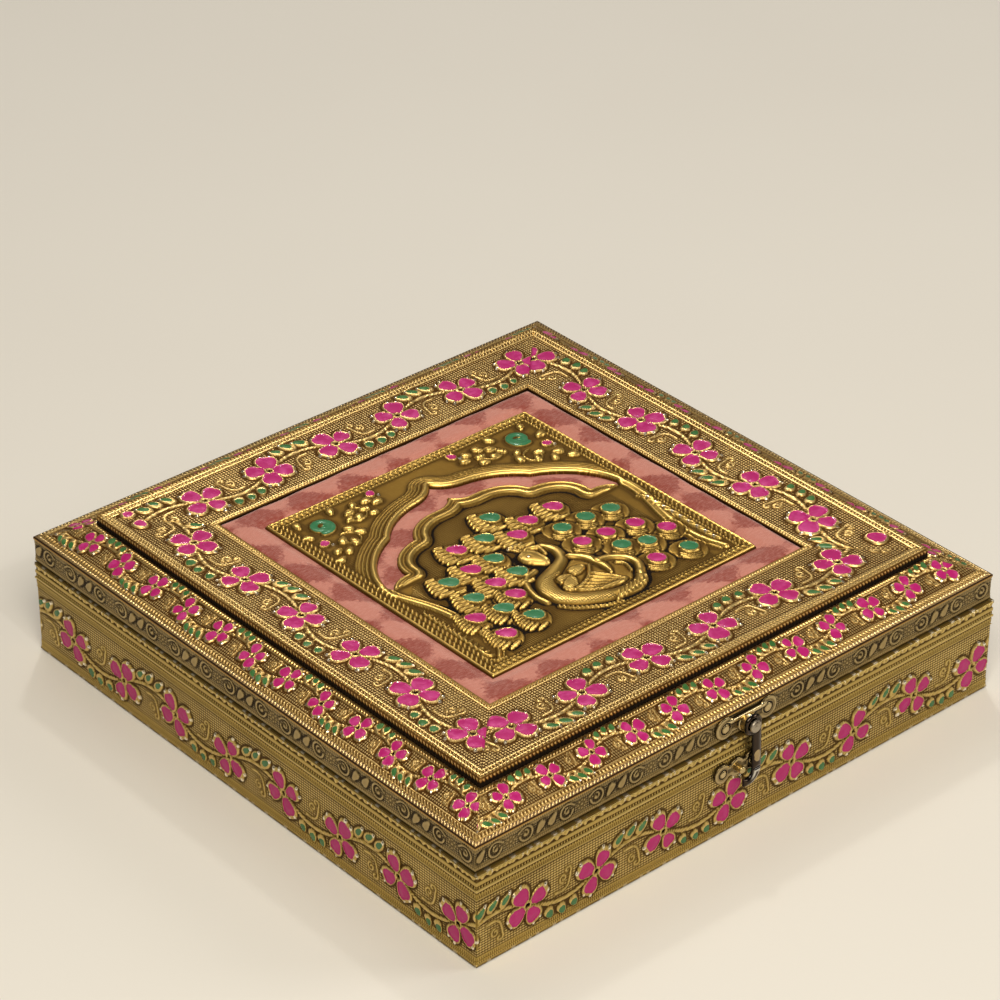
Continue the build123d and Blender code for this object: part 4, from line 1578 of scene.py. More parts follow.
@dataclass
class FrameSides(Strip):
    """The embossed channels over the raised frame."""

    vine: Vine = Vine(reach=5.6, petal=3.5, leaf=1.6, leaf_gap=4.9, high=0.98, flange=0.20)
    pitch: float = 31.6  # from one flower to the next
    open: float = 96.0  # how far from a side's middle its flowers open

    def section(self) -> Section:
        """Inner lip, the top falling inwards, the outer step, and the back.

        Returns:
            The section.
        """
        width, fall = BEVEL_IN - FRAME_IN, FRAME_OUTER_TOP - FRAME_INNER_TOP
        low = self.depth

        def place(inset: float) -> Place:
            """A point of the sheet under the relief at an inset from the outer edge."""
            return BEVEL_IN - inset, FRAME_OUTER_TOP - fall * inset / width - low

        made = Section(back=[(BEVEL_IN - 1.0, 56.4), (BEVEL_IN - 1.0, 59.7), (FRAME_IN + 0.7, 58.2),
                             (FRAME_IN + 0.7, 57.3)])
        made.run((FRAME_IN + 0.1, 57.3), (FRAME_IN + 0.1, 59.2), 0.45, (36.0, 35.0))
        made.run((FRAME_IN + 0.2, 59.4), (FRAME_IN + 0.5, 59.55), 0.3, (34.0, 33.5))
        made.run(place(32.0), place(27.5), 0.33, (32.0, 27.5), 1.0)
        made.run(place(27.5), place(5.0), 0.50, (27.5, 5.0), 1.0)
        made.run(place(5.0), place(0.6), 0.33, (5.0, 0.6), 1.0)
        made.run((BEVEL_IN - 0.35, 60.95), (BEVEL_IN - 0.12, 60.7), 0.2)
        made.run((BEVEL_IN - 0.5, 60.4), (BEVEL_IN - 0.5, 56.4), 0.4, (-0.6, -4.6), 0.5)
        return made

    def rows(self, relief: Relief) -> None:
        """Bead rows and lines along both edges.

        Args:
            relief: The sheet.
        """
        relief.plateau(-6.0, 34.0, 0.24)
        relief.rope(-1.45, 0.85, 0.95, 5, 1.0)
        relief.fringe(-4.4, -2.8, 0.8, 5)
        relief.rope(0.95, 0.70, 0.98, 5, 1.0)
        relief.ridge(1.98, 0.28, 0.80)
        relief.rope(2.98, 0.66, 0.92, 5, 1.0)
        relief.ridge(3.92, 0.26, 0.78)
        relief.ridge(30.45, 0.26, 0.66)
        relief.rope(31.45, 0.62, 0.90, 6, 1.0)
        relief.field(4.3, 30.1)
        # painted shade: rising down the outer step to black, and darker on the inner lip
        relief.shade = np.where(relief.t < -2.3, 1.0, 0.7 * smooth(relief.t, -0.3, -2.3))
        relief.shade = np.where(relief.t > 33.0, 0.55, relief.shade)

    def motifs(self, relief: Relief, side: Side) -> None:
        """The largest vine, which starts elsewhere on each side, with a bud in three corners.

        Args:
            relief: The sheet.
            side: The side that it is for.
        """
        start = {Side.FRONT: -80.2, Side.RIGHT: -66.4, Side.BACK: -54.9, Side.LEFT: -71.3}[side]
        places = [(start + self.pitch * k, 17.1 if k % 2 == 0 else 16.2) for k in range(6)]
        places = [place for place in places if abs(place[0]) < self.open]
        ends = [(places[0][0] - self.pitch, 16.5), (places[-1][0] + self.pitch, 16.5)]
        vine = replace(self.vine, drops_up=side in (Side.FRONT, Side.BACK))
        vine.grow(relief, [ends[0], *places, ends[1]], first_up=True, limit=self.open)
        buds = {Side.RIGHT: (-91.2, 8.6, 205.0, 0.90), Side.LEFT: (-94.6, 9.8, 190.0, 0.62),
                Side.BACK: (99.4, 6.6, 340.0, 0.50)}
        if side in buds:
            vine.bud(relief, *buds[side])


# Plaque.

def arc(a: Place, b: Place, c: Place, steps: int = 9) -> Array:
    """Points on the circle through three places, from the first to the last.

    The circle's middle is where the three distances are equal; the angle runs evenly from a to c by
    way of b.

    Args:
        a: The first place.
        b: A place on the way.
        c: The last place.
        steps: Points.

    Returns:
        An array of shape (steps, 2).
    """
    (ax, ay), (bx, by), (cx, cy) = a, b, c
    across = 2 * (ax * (by - cy) + bx * (cy - ay) + cx * (ay - by))
    squares = [x * x + y * y for x, y in (a, b, c)]
    mx = (squares[0] * (by - cy) + squares[1] * (cy - ay) + squares[2] * (ay - by)) / across
    my = (squares[0] * (cx - bx) + squares[1] * (ax - cx) + squares[2] * (bx - ax)) / across
    angles = np.unwrap([math.atan2(y - my, x - mx) for x, y in (a, b, c)])
    angle = np.linspace(angles[0], angles[2], steps)
    radius = math.hypot(ax - mx, ay - my)
    return np.stack([mx + radius * np.cos(angle), my + radius * np.sin(angle)], axis=1)


def polygon_distance(corners: Array, s: Array, t: Array) -> Array:
    """Distance inside a closed polygon, negative outside.

    The distance is the least over its edges; a place is inside where a ray crosses an odd number
    of edges.

    Args:
        corners: The polygon's corners, shape (n, 2).
        s: Places along.
        t: Places across.

    Returns:
        The distance at each place.
    """
    best, odd = np.full(s.shape, FAR), np.zeros(s.shape, bool)
    for (ax, ay), (bx, by) in zip(corners, np.roll(corners, -1, axis=0)):
        dx, dy = bx - ax, by - ay
        share = np.clip(((s - ax) * dx + (t - ay) * dy) / max(dx * dx + dy * dy, 1e-12), 0, 1)
        best = np.minimum(best, (s - ax - share * dx) ** 2 + (t - ay - share * dy) ** 2)
        if ay != by:
            odd ^= ((ay > t) != (by > t)) & (s < ax + (t - ay) * dx / dy)
    return np.sqrt(best) * np.where(odd, 1.0, -1.0)


@dataclass(frozen=True)
class Feather:
    """An eye of the peacock's tail: place, paint, and whether it is combed."""

    s: float
    t: float
    paint: Paint
    combed: bool = True  # bars beside the eye, or smooth crescents


@dataclass
class Plaque:
    """The square plaque with its cusped window, peacock, mouldings and corner rosettes."""

    half: float = 64.4
    low: float = VELVET_TOP
    sheet: float = 0.62  # ground above the plaque's back
    deepest: float = 1.7  # height of the highest relief above the ground
    step: float = 0.425
    arch_half: float = 56.6
    arch_rise: float = 46.0
    bird: Place = (2.8, -42.0)  # middle of the peacock's body

    # Half of each arch as arcs through three places, in shares of its half width and its rise.
    outer: tuple[tuple[Place, Place, Place], ...] = (
        ((1.00, 0.07), (0.90, 0.33), (0.61, 0.60)),
        ((0.61, 0.60), (0.44, 0.77), (0.21, 0.86)),
        ((0.21, 0.86), (0.09, 0.905), (0.0, 1.0)),
    )
    inner: tuple[tuple[Place, Place, Place], ...] = (
        ((0.98, 0.0), (0.90, 0.09), (0.80, 0.11)),
        ((0.80, 0.11), (0.72, 0.35), (0.50, 0.46)),
        ((0.50, 0.46), (0.37, 0.63), (0.16, 0.68)),
        ((0.16, 0.68), (0.07, 0.70), (0.0, 0.78)),
    )

    # Bars beside the window: distance from it, half width and height.
    outer_bars: tuple[Triple, ...] = ((1.60, 1.50, 1.50), (3.90, 0.80, 0.85), (5.40, 0.66, 0.62),
                                      (6.70, 0.60, 0.45), (7.80, 0.50, 0.30))
    inner_bars: tuple[Triple, ...] = ((0.95, 0.85, 0.80), (2.30, 0.55, 0.75), (4.35, 1.55, 1.35),
                                      (6.25, 0.50, 0.40))

    def arch(self, arcs: tuple[tuple[Place, Place, Place], ...]) -> Array:
        """A cusped arch from its right foot over the apex to its left foot."""
        right = np.vstack([*(arc(*three)[:-1] for three in arcs[:-1]), arc(*arcs[-1])])
        return np.vstack([right, right[-2::-1] * [-1, 1]]) * [self.arch_half, self.arch_rise]

    def window(self) -> Array:
        """The window's outline: the outer arch there and the inner arch back."""
        return np.vstack([self.arch(self.outer), self.arch(self.inner)[::-1]])

    def below(self, arcs: tuple[tuple[Place, Place, Place], ...], s: Array, t: Array) -> Array:
        """Distance inside the space between an arch and the plaque's foot."""
        return polygon_distance(np.vstack([self.arch(arcs), [(-56, -70), (56, -70)]]), s, t)

    def edge(self, s: Array, t: Array) -> Array:
        """Distance inside the plaque's square."""
        return np.minimum(self.half - np.abs(s), self.half - np.abs(t))

    def metal(self, s: Array, t: Array) -> Array:
        """Distance inside the square and outside the window."""
        return np.minimum(self.edge(s, t), -polygon_distance(self.window(), s, t))

    def borders(self, relief: Relief) -> None:
        """A plain edge bar, leaning beads inside it, more of them on the left, and fine beads elsewhere.

        Args:
            relief: The sheet.
        """
        def square(inset: float) -> Array:
            """The four corners at an inset from the edge, and the first again."""
            h = self.half - inset
            return np.array([(-h, -h), (h, -h), (h, h), (-h, h), (-h, -h)])

        relief.stroke(square(0.8), 0.72, 0.95)
        relief.stroke(square(2.65), 1.25, 1.25, ribs=2.4, lean=0.55, ribbed=0.72, moat=0.15)
        relief.stroke(square(4.85)[3:], 1.20, 1.25, ribs=2.4, lean=0.55, ribbed=0.72, moat=0.15)
        relief.stroke(square(4.5)[:4], 0.60, 0.85, ribs=1.6, lean=0.3, ribbed=0.6, moat=0.2)

    def mouldings(self, relief: Relief, inside: Array) -> None:
        """Round bars side by side along both arches, five beyond the window and four under it.

        Each is the root of one less the square of its share of the distance from the window, and
        they die away towards the arches' feet.

        Args:
            relief: The sheet.
            inside: Distance inside the window.
        """
        beyond = -inside
        outer = self.below(self.outer, relief.s, relief.t) < 0
        for where, bars, foot in ((outer, self.outer_bars, 4.0), (~outer, self.inner_bars, 0.8)):
            end = bars[-1][0]
            band = smooth(beyond, 0.0, 0.15) * (1 - smooth(beyond, end + 0.3, end + 0.7))
            band = band * where * smooth(relief.t, -0.5, foot)
            shape = 0.10 + sum(height * round_top((beyond - place) / half) for place, half, height in bars)
            relief.height = relief.height * (1 - band) + shape * band
            relief.ground *= 1 - band
        relief.height *= smooth(beyond, -0.2, 0.25)

    def brackets(self, relief: Relief) -> None:
        """Curved reeded stems from the window's feet down to the corners, with leaves behind them.

        Args:
            relief: The sheet.
        """
        stems = (
            [(-58.5, 1.5), (-57.9, -3.5), (-55.4, -9.8), (-52.3, -18.5), (-50.4, -28.5), (-49.8, -39.8),
             (-50.8, -51.0), (-55.0, -57.0)],
            [(58.6, 1.5), (59.0, -4.5), (57.8, -13.5), (55.0, -23.5), (53.0, -33.5), (53.0, -46.0),
             (56.2, -57.0)],
        )
        for stem, wide in zip(stems, (1.45, 2.0)):
            line = curve(stem, 5)
            width = wide - 0.7 * np.linspace(0, 1, len(line)) ** 2
            relief.stroke(line, width, 1.30, moat=0.3)
            relief.stroke(line - np.sign(line[:, :1]) * [2.2, 0.0], width * 0.42, 0.9, moat=0.1)
        turn = np.radians(np.linspace(95.0, 290.0, 12))
        for number in range(12):
            size = 1.3 + 0.075 * number
            middle = np.array([-55.9 + 0.02 * number, -19.5 - 2.9 * number])
            leaf = middle + size * np.stack([np.cos(turn), 1.5 * np.sin(turn)], axis=1)
            half = 0.15 + (0.35 + 0.03 * number) * np.sin(np.linspace(0.2, 2.9, 12))
            relief.stroke(leaf, half, 1.1, moat=0.4)
        for number in range(9):
            t = -13.5 - 4.5 * number
            slant = curve([(55.7, t + 2.9), (57.1, t), (58.0, t - 2.9)], 5)
            relief.stroke(slant, 0.35 + 0.65 * np.sin(np.linspace(0, 3.1, 11)), 1.40, moat=0.2, power=0.6)
            relief.dome(57.2, t, 0.8, 1.45, polish=0.8)
        relief.stroke(curve([(54.9, -10), (56.9, -17), (57.5, -24)], 5), 0.8, 0.9, ribs=1.2)
        relief.stroke(curve([(-59.0, -54.0), (-57.0, -57.5), (-53.0, -58.3)], 5), 0.9, 1.0, ribs=1.2,
                      moat=0.2)

    def spandrels(self, relief: Relief) -> None:
        """Green spiral rosettes, rose drops and small gold buds in the two upper corners.

        Args:
            relief: The sheet.
        """
        buds = ((-34.5, 51.5), (-30.6, 54.6), (-37.4, 47.6), (-33.4, 46.6), (-24.6, 53.9), (-28.2, 49.6),
                (-27.0, 45.6), (-39.5, 38.6), (-45.0, 34.4), (-48.6, 37.8), (-54.6, 33.4), (-41.6, 42.8),
                (-57.6, 47.4), (-57.4, 28.0), (-55.2, 56.6), (-39.0, 56.8), (-21.8, 51.0), (-50.8, 31.0))
        for way in (-1.0, 1.0):
            def facing(angle: float) -> float:
                """An angle given for the left corner, mirrored for the right one."""
                return angle if way < 0 else 180 - angle

            relief.stroke(curl((way * 48.6, 50.6), 4.3, 270.0 + way * 20.0, -1.25 * way, 0.42, 30), 1.75,
                          0.95, foot=0.25, moat=0.35, paint=Paint.LEAF)
            relief.dome(way * 48.6 + 0.4, 50.0, 1.35, 1.35)
            for s, t, angle in ((-20.2, 56.8, 60), (-54.9, 40.8, 200)):
                relief.petal(-way * s, t, facing(angle), 1.75, 0.9, Paint.ROSE, stretch=1.2, point=-0.08,
                             rim=0.28)
                relief.dome(-way * s + 2.3, t - 2.2, 0.6, 0.8, polish=1.0)
            for s, t in buds:
                angle = math.degrees(math.atan2(t - 44.0, s + 44.0)) + relief.random.normal() * 25
                size = 1.15 + 0.35 * relief.random.random()
                relief.petal(-way * s + relief.random.normal() * 0.3, t, facing(angle), size, 1.25,
                             Paint.BARE, stretch=1.45, point=0.14, rim=0.3, foot=0.7, crown=1.1, moat=0.3)
            for s, t, radius, start, turns, end in ((33.0, 50.0, 5.6, 200, -0.8, 0.5),
                                                    (45.5, 36.8, 5.2, 100, 0.8, 0.4)):
                relief.stroke(curl((way * s, t), radius, facing(start), turns * way, end), 0.42, 0.9,
                              moat=0.2)

    def feathers(self) -> list[Feather]:
        """The eyes of the tail, those with combs first.

        Returns:
            The feathers.
        """
        eyes = (
            (Paint.ROSE, True, ((-21.0, 5.3), (-25.6, -8.1), (-24.5, -20.6), (-45.0, -33.1), (-23.9, -30.8),
                                (-43.1, -47.6), (2.8, -1.4), (12.4, 3.6), (25.9, 4.6))),
            (Paint.LEAF, True, ((2.8, 14.0), (-8.1, 4.6), (-37.3, -9.4), (-14.4, -7.9), (-36.9, -22.9),
                                (-13.5, -20.0), (-33.1, -34.8), (-27.6, -45.1))),
            (Paint.ROSE, False, ((17.8, -20.4), (28.8, -21.4), (41.3, -23.8), (48.4, -33.5), (31.1, -46.4))),
            (Paint.LEAF, False, ((18.6, -8.5), (30.3, -8.5), (41.5, -10.1), (27.5, -31.4), (36.5, -35.6),
                                 (45.6, -48.3))),
        )
        return [Feather(*place, paint, combed) for paint, combed, places in eyes for place in places]

    def comb(self, relief: Relief, feather: Feather) -> None:
        """Bars that all point along s, stacked down the left of an eye and round below it.

        Their middles and lengths are read from a few places by straight lines between them.

        Args:
            relief: The sheet.
            feather: The eye.
        """
        low = feather.t < -30.0
        slant = heading(16.0 if low else -6.0)
        for row in np.linspace(5.4, -7.2, 9 if low else 7):
            left = np.interp(row, (-7.2, -5.6, -3.4, -1.0, 1.2, 3.5, 5.6),
                             (-2.4, -5.4, -6.6, -6.6, -6.2, -5.6, -4.9))
            half = np.interp(row, (-7.2, -3.0, 1.0, 5.6), (3.3, 2.7, 2.3, 1.6)) * (0.78 if low else 1.0)
            place = np.array([left, row]) + (feather.s, feather.t)
            relief.stroke(place + half * slant * [[-1.0], [0.0], [1.0]], np.array([0.6, 0.88, 0.66]), 1.40,
                          moat=0.35, power=0.6)

    def crescent(self, relief: Relief, feather: Feather) -> None:
        """A bright crescent close below an eye and short arcs nested beyond it.

        Args:
            relief: The sheet.
            feather: The eye.
        """
        for radius, half, height, reach in ((3.95, 1.0, 1.35, 58.0), (5.6, 0.50, 0.95, 44.0),
                                            (6.7, 0.46, 0.90, 36.0), (7.7, 0.40, 0.85, 26.0)):
            turn = np.radians(234.0 + reach * np.linspace(-1, 1, 12))
            hem = (feather.s, feather.t) + radius * np.stack([np.cos(turn), np.sin(turn)], axis=1)
            relief.stroke(hem, half * np.sin(np.linspace(0.35, 2.8, 12)) + 0.1, height, moat=0.2, power=0.7)

    def train(self, relief: Relief) -> None:
        """The spread tail: a low vane under each eye, with its comb or its crescent.

        The feathers furthest from the body are worked first, so that nearer ones lie over them, and
        the eyes come last.

        Args:
            relief: The sheet.
        """
        feathers = sorted(self.feathers(), key=lambda one: -math.dist((one.s, one.t), self.bird))
        for feather in feathers:
            relief.petal(feather.s - (2.2 if feather.combed else 1.0), feather.t - 1.2, 139.0, 6.3, 0.42,
                         Paint.BARE, stretch=1.12, point=-0.05, rim=0.3, foot=0.6, crown=1.0, moat=0.35)
            (self.comb if feather.combed else self.crescent)(relief, feather)
        for feather in feathers:
            relief.petal(feather.s, feather.t, 139.0, 3.0, 1.15, feather.paint,
                         stretch=1.34 if feather.combed else 1.22, point=-0.09 if feather.combed else -0.02,
                         rim=0.34, foot=0.45, crown=0.85, moat=0.0)

    def peacock(self, relief: Relief) -> None:
        """Neck, breast and back as one swelling bar, then head, wing, tail curls and the roped belly.

        Args:
            relief: The sheet.
        """
        spine = curve([(1.0, -11.7), (4.6, -13.2), (6.6, -18.0), (4.3, -23.8), (-2.4, -27.6), (-9.9, -31.4),
                       (-13.2, -37.0), (-12.4, -43.0), (-8.0, -47.8), (-1.0, -51.8), (5.0, -54.0),
                       (12.2, -54.7), (17.4, -52.6), (20.4, -48.9)], 5)
        width = np.interp(np.linspace(0, 13, len(spine)), np.arange(14),
                          (1.5, 1.9, 2.2, 2.4, 3.0, 3.9, 4.3, 4.2, 3.9, 3.6, 3.4, 3.2, 2.6, 2.0))
        back = curve([(-8.5, -23.4), (-13.6, -25.0), (-17.4, -29.6), (-19.2, -36.4), (-18.6, -42.0)], 5)
        belly = curve([(-17.0, -46.4), (-13.8, -50.4), (-9.2, -54.0), (-3.8, -57.0), (2.6, -59.2)], 6)
        relief.petal(5.4, -41.0, 30, 13.6, 0.55, Paint.BARE, point=0.0, rim=0.3, foot=0.9, crown=1.0,
                     moat=0.3)
        relief.stroke(back, 1.5, 0.95, moat=0.3, power=0.7)
        relief.stroke(belly, 0.95, 1.2, ribs=1.7, ribbed=0.7, lean=0.4, moat=0.3)
        relief.stroke(spine, width, 1.45, moat=0.5, power=0.5)
        for number in range(8):
            start = np.array([1.6 + 2.1 * number, -57.2 + 0.2 * number])
            relief.stroke(start + [(0.0, 0.0), (2.4, 1.5), (4.2, 4.0)], np.array([0.6, 0.6, 0.3]), 1.68)

        crown = curve([(-6.6, -16.6), (-5.2, -12.6), (-0.8, -10.8), (2.6, -13.0), (2.2, -17.0)], 5)
        relief.stroke(crown, 1.0, 1.25, moat=0.3)
        relief.petal(-3.6, -16.8, -68, 3.5, 1.5, Paint.BARE, stretch=1.55, point=-0.16, rim=0.5, foot=0.7,
                     crown=1.0, moat=0.4)
        relief.dome(-4.6, -15.8, 0.62, 1.65, foot=1.0, polish=1.0)
        for number in range(4):
            crest = curve([(-3.4, -11.6), (-5.0 + number * 1.2, -8.8), (-6.2 + number * 2.0, -6.6)], 4)
            relief.stroke(crest, 0.3, 0.9, moat=0.1)
            relief.dome(-6.4 + number * 2.05, -6.1, 0.6, 1.0, polish=0.7)

        for share in np.linspace(0.0, 1.0, 6):
            start = (6.0 - 11.7 * share, -38.2 - 4.6 * share)
            end = (14.0 - 2.5 * share, -49.2 - 0.6 * share)
            middle = (0.5 * (start[0] + end[0]) - 2.2 * share, 0.5 * (start[1] + end[1]) - 1.4 * share)
            relief.stroke(curve([start, middle, end], 6), np.array([0.62, *[1.0] * 11, 0.35]) * 0.95, 1.35,
                          moat=0.3, power=0.7)
        for s, t, angle, size in ((-4.1, -34.9, 0, 1.9), (3.0, -33.2, 5, 2.0), (-4.9, -39.2, 37, 2.4)):
            relief.petal(s, t, angle, size, 1.4, Paint.BARE, stretch=1.6, point=-0.14, rim=0.4, foot=0.7,
                         crown=1.0, moat=0.3)
        shoulder = curve([(8.4, -34.2), (5.9, -37.2), (3.2, -39.6), (-0.5, -41.6), (-4.6, -42.6)], 5)
        relief.stroke(shoulder, 0.75, 1.55, moat=0.3)
        plume = curve([(7.6, -24.2), (11.4, -28.4), (13.0, -33.4), (13.0, -38.6), (12.1, -42.2)], 5)
        half = 0.7 + 1.7 * np.sin(np.linspace(0.15, 0.97, len(plume)) * math.pi)
        relief.stroke(plume, half, 1.35, moat=0.4, power=0.65)
        tail = curve([(14.6, -33.4), (18.6, -34.6), (23.0, -38.6), (23.9, -43.6), (20.6, -49.2)], 5)
        relief.stroke(tail, 1.9, 1.3, moat=0.35)
        relief.stroke(curve([(17.6, -38.6), (19.6, -41.6), (18.6, -46.0)], 5), 0.6, 1.3, moat=0.35)

    def build(self, finish: EmbossedBrass) -> None:
        """Works the relief, cuts the window and replaces the plain plaque.

        Args:
            finish: Its finish.
        """
        count = int(round(2 * self.half / self.step))
        line = np.linspace(-self.half, self.half, count + 1)
        s, t = np.meshgrid(line, line)
        relief = Relief(s, t, seed=5)
        inside = polygon_distance(self.window(), s, t)
        yard = smooth(self.below(self.inner, s, t), 6.2, 7.2)
        side = (smooth(-s, 26.0, 36.0) * smooth(t, -44.0, -36.0) * smooth(-inside, 6.2, 7.0)
                * (1 - smooth(t, 20.0, 28.0)))
        relief.ground = np.maximum(side, 0.42 * yard)
        self.brackets(relief)
        self.spandrels(relief)
        self.train(relief)
        self.peacock(relief)
        # painted shade on the low flat ground inside the arch
        relief.shade = np.maximum(relief.shade, 0.34 * yard * (1 - smooth(relief.height, 0.02, 0.25)))
        chest = (s + t < -22.0) & (s + t > -70.0) & (np.hypot(s + 6.0, t + 44.0) < 14.0)
        breast = (relief.height > 0.95) & chest
        relief.ground = np.where(breast & (s < 2.0), 0.9, relief.ground)
        field = self.edge(s, t) > 6.0
        relief.height *= np.where(field, smooth(-inside, -0.4, 0.4), 1.0)
        self.mouldings(relief, inside)
        self.borders(relief)
        relief.settle()
        relief.height = np.minimum(relief.height, self.deepest) * smooth(self.edge(s, t), -0.5, 0.45)

        def stand(points: Array) -> Array:
            """Points laid over the velvet."""
            return points + np.array([0.0, LID_MIDDLE, self.low + self.sheet])

        cut_piece("peacock_plaque", relief, self.metal, self.sheet, stand, "lid",
                  finish.material(), ["plaque"])


# Cloth.

@dataclass
class VelvetPanel:
    """The printed velvet stretched under the plaque, a little proud of it in the open."""

    half: float = 76.45
    low: float = PANEL_TOP
    top: float = VELVET_TOP
    step: float = 1.35

    def build(self, finish: PrintedVelvet) -> None:
        """Builds the sheet: its top swells by two products of sines where nothing presses on it.

        Args:
            finish: Its finish.
        """
        count = int(round(2 * self.half / self.step))
        line = np.linspace(-self.half, self.half, count + 1)
        s, t = np.meshgrid(line, line)
        edge = np.minimum(self.half - np.abs(s), self.half - np.abs(t))
        plaque = Plaque()
        out = -plaque.edge(s, t)
        window = polygon_distance(plaque.window(), s, t)
        bare = np.maximum(smooth(out, 0.2, 3.0), smooth(window, 0.3, 4.0))
        waves = (np.sin(s * 0.31 + 0.6) * np.sin(t * 0.27 - 0.4) + 0.6 * np.sin(s * 0.11 + t * 0.13))
        padding = 0.30 + 0.85 * smooth(out, 0.6, 4.5)
        rise = bare * (padding + 0.14 * waves) - 0.6 * (1 - smooth(edge, 0.0, 1.4))
        front = np.stack([s, t + LID_MIDDLE, self.top - 0.02 + rise], axis=-1)
        behind = np.stack([s, t + LID_MIDDLE, np.full_like(s, self.low)], axis=-1)
        points, faces = slab(front, behind)
        uv = np.concatenate([np.stack([s.ravel(), t.ravel()], axis=1)] * 2)
        piece = make_piece("velvet_panel_cloth", points, faces, "lid", finish.material(),
                           uv=uv)
        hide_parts("velvet_panel")


@dataclass
class Lining:
    """A thin cloth sheet glued to a board, in the place of a plain one."""

    node: str
    body: str
    slot: str
    axis: int  # the axis that it faces along
    sign: int  # the way it faces
    board: str
    dimple: float = 0.10  # depth of its slow waves
    step: float = 6.0

    def build(self, material: Material) -> None:
        """Builds the sheet: its face sinks by slow sines, and more towards its edges, within its box.

        Args:
            material: Its finish.
        """
        low, high = (np.array(corner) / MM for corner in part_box(self.node))
        first, second = [axis for axis in range(3) if axis != self.axis]
        counts = [max(6, int((high[a] - low[a]) / self.step)) for a in (first, second)]
        a = np.linspace(low[first], high[first], counts[0])
        b = np.linspace(low[second], high[second], counts[1])
        grid_a, grid_b = np.meshgrid(a, b, indexing="ij")
        edge = np.minimum(np.minimum(grid_a - low[first], high[first] - grid_a),
                          np.minimum(grid_b - low[second], high[second] - grid_b))
        sunk = self.dimple * (0.5 + 0.25 * np.sin(grid_a * 0.13) + 0.25 * np.sin(grid_b * 0.17 + 1.0)
                              + 0.8 * np.exp(-edge / 1.2))
        face, back = (high, low) if self.sign > 0 else (low, high)
        front, behind = np.zeros((*grid_a.shape, 3)), np.zeros((*grid_a.shape, 3))
        for grid in (front, behind):
            grid[..., first], grid[..., second] = grid_a, grid_b
        front[..., self.axis] = face[self.axis] - self.sign * sunk
        behind[..., self.axis] = back[self.axis]
        points, faces = slab(front, behind)
        piece = make_piece(self.node + "_cloth", points, faces, self.body, material)
        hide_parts(self.node)


# Hardware.

def lobed_bar(left: Place, right: Place, half: float, lobe: float, middle: Triple) -> Distance:
    """The distance inside a level bar with a round lobe at each end and one between them.

    Args:
        left: The bar's left end.
        right: Its right end.
        half: Half its height.
        lobe: Radius of the lobes at its ends.
        middle: Place and radius of the lobe between them.

    Returns:
        A function of places (s, t).
    """
    def inside(s: Array, t: Array) -> Array:
        """The largest of the distances inside the bar and inside each lobe.

        Args:
            s: Places along.
            t: Places across.

        Returns:
            The distance.
        """
        level = np.minimum(np.minimum(s - left[0], right[0] - s), half - np.abs(t - left[1]))
        lobes = [radius - np.hypot(s - x, t - z) for x, z, radius in ((*left, lobe), (*right, lobe), middle)]
        return np.max([level, *lobes], axis=0)
    return inside


@dataclass
class FrontPlate:
    """A plate on the front, cut to an outline and rounded over along its edge."""

    name: str
    body: str
    nodes: Sequence[str]
    back: float  # y of the plate's back
    thick: float  # from its back to height 0
    outline: Distance
    low: Place
    high: Place
    step: float = 0.24
    rounding: float = 0.5  # how far in its edge is rounded over

    def blank(self) -> tuple[Relief, Array]:
        """The grid over the plate, and the distance inside its outline.

        Returns:
            The grid and the distance.
        """
        lines = (np.arange(low, high + self.step, self.step) for low, high in zip(self.low, self.high))
        s, t = np.meshgrid(*lines)
        return Relief(s, t, seed=3), self.outline(s, t)

    def build(self, relief: Relief, inside: Array, material: Material) -> None:
        """Rounds the edge over, cuts the outline, stands the plate up and replaces its nodes.

        Args:
            relief: The plate's grid.
            inside: Distance inside its outline.
            material: Its finish.
        """
        def stand(points: Array) -> Array:
            """Points stood up on the front, facing it."""
            s, t, height = points.T
            return np.stack([s, self.back - self.thick - height, t], axis=1)

        relief.height = relief.height * round_top(1 - np.clip(inside / self.rounding, 0, 1))
        cut_piece(self.name, relief, self.outline, self.thick, stand, self.body, material,
                  self.nodes)


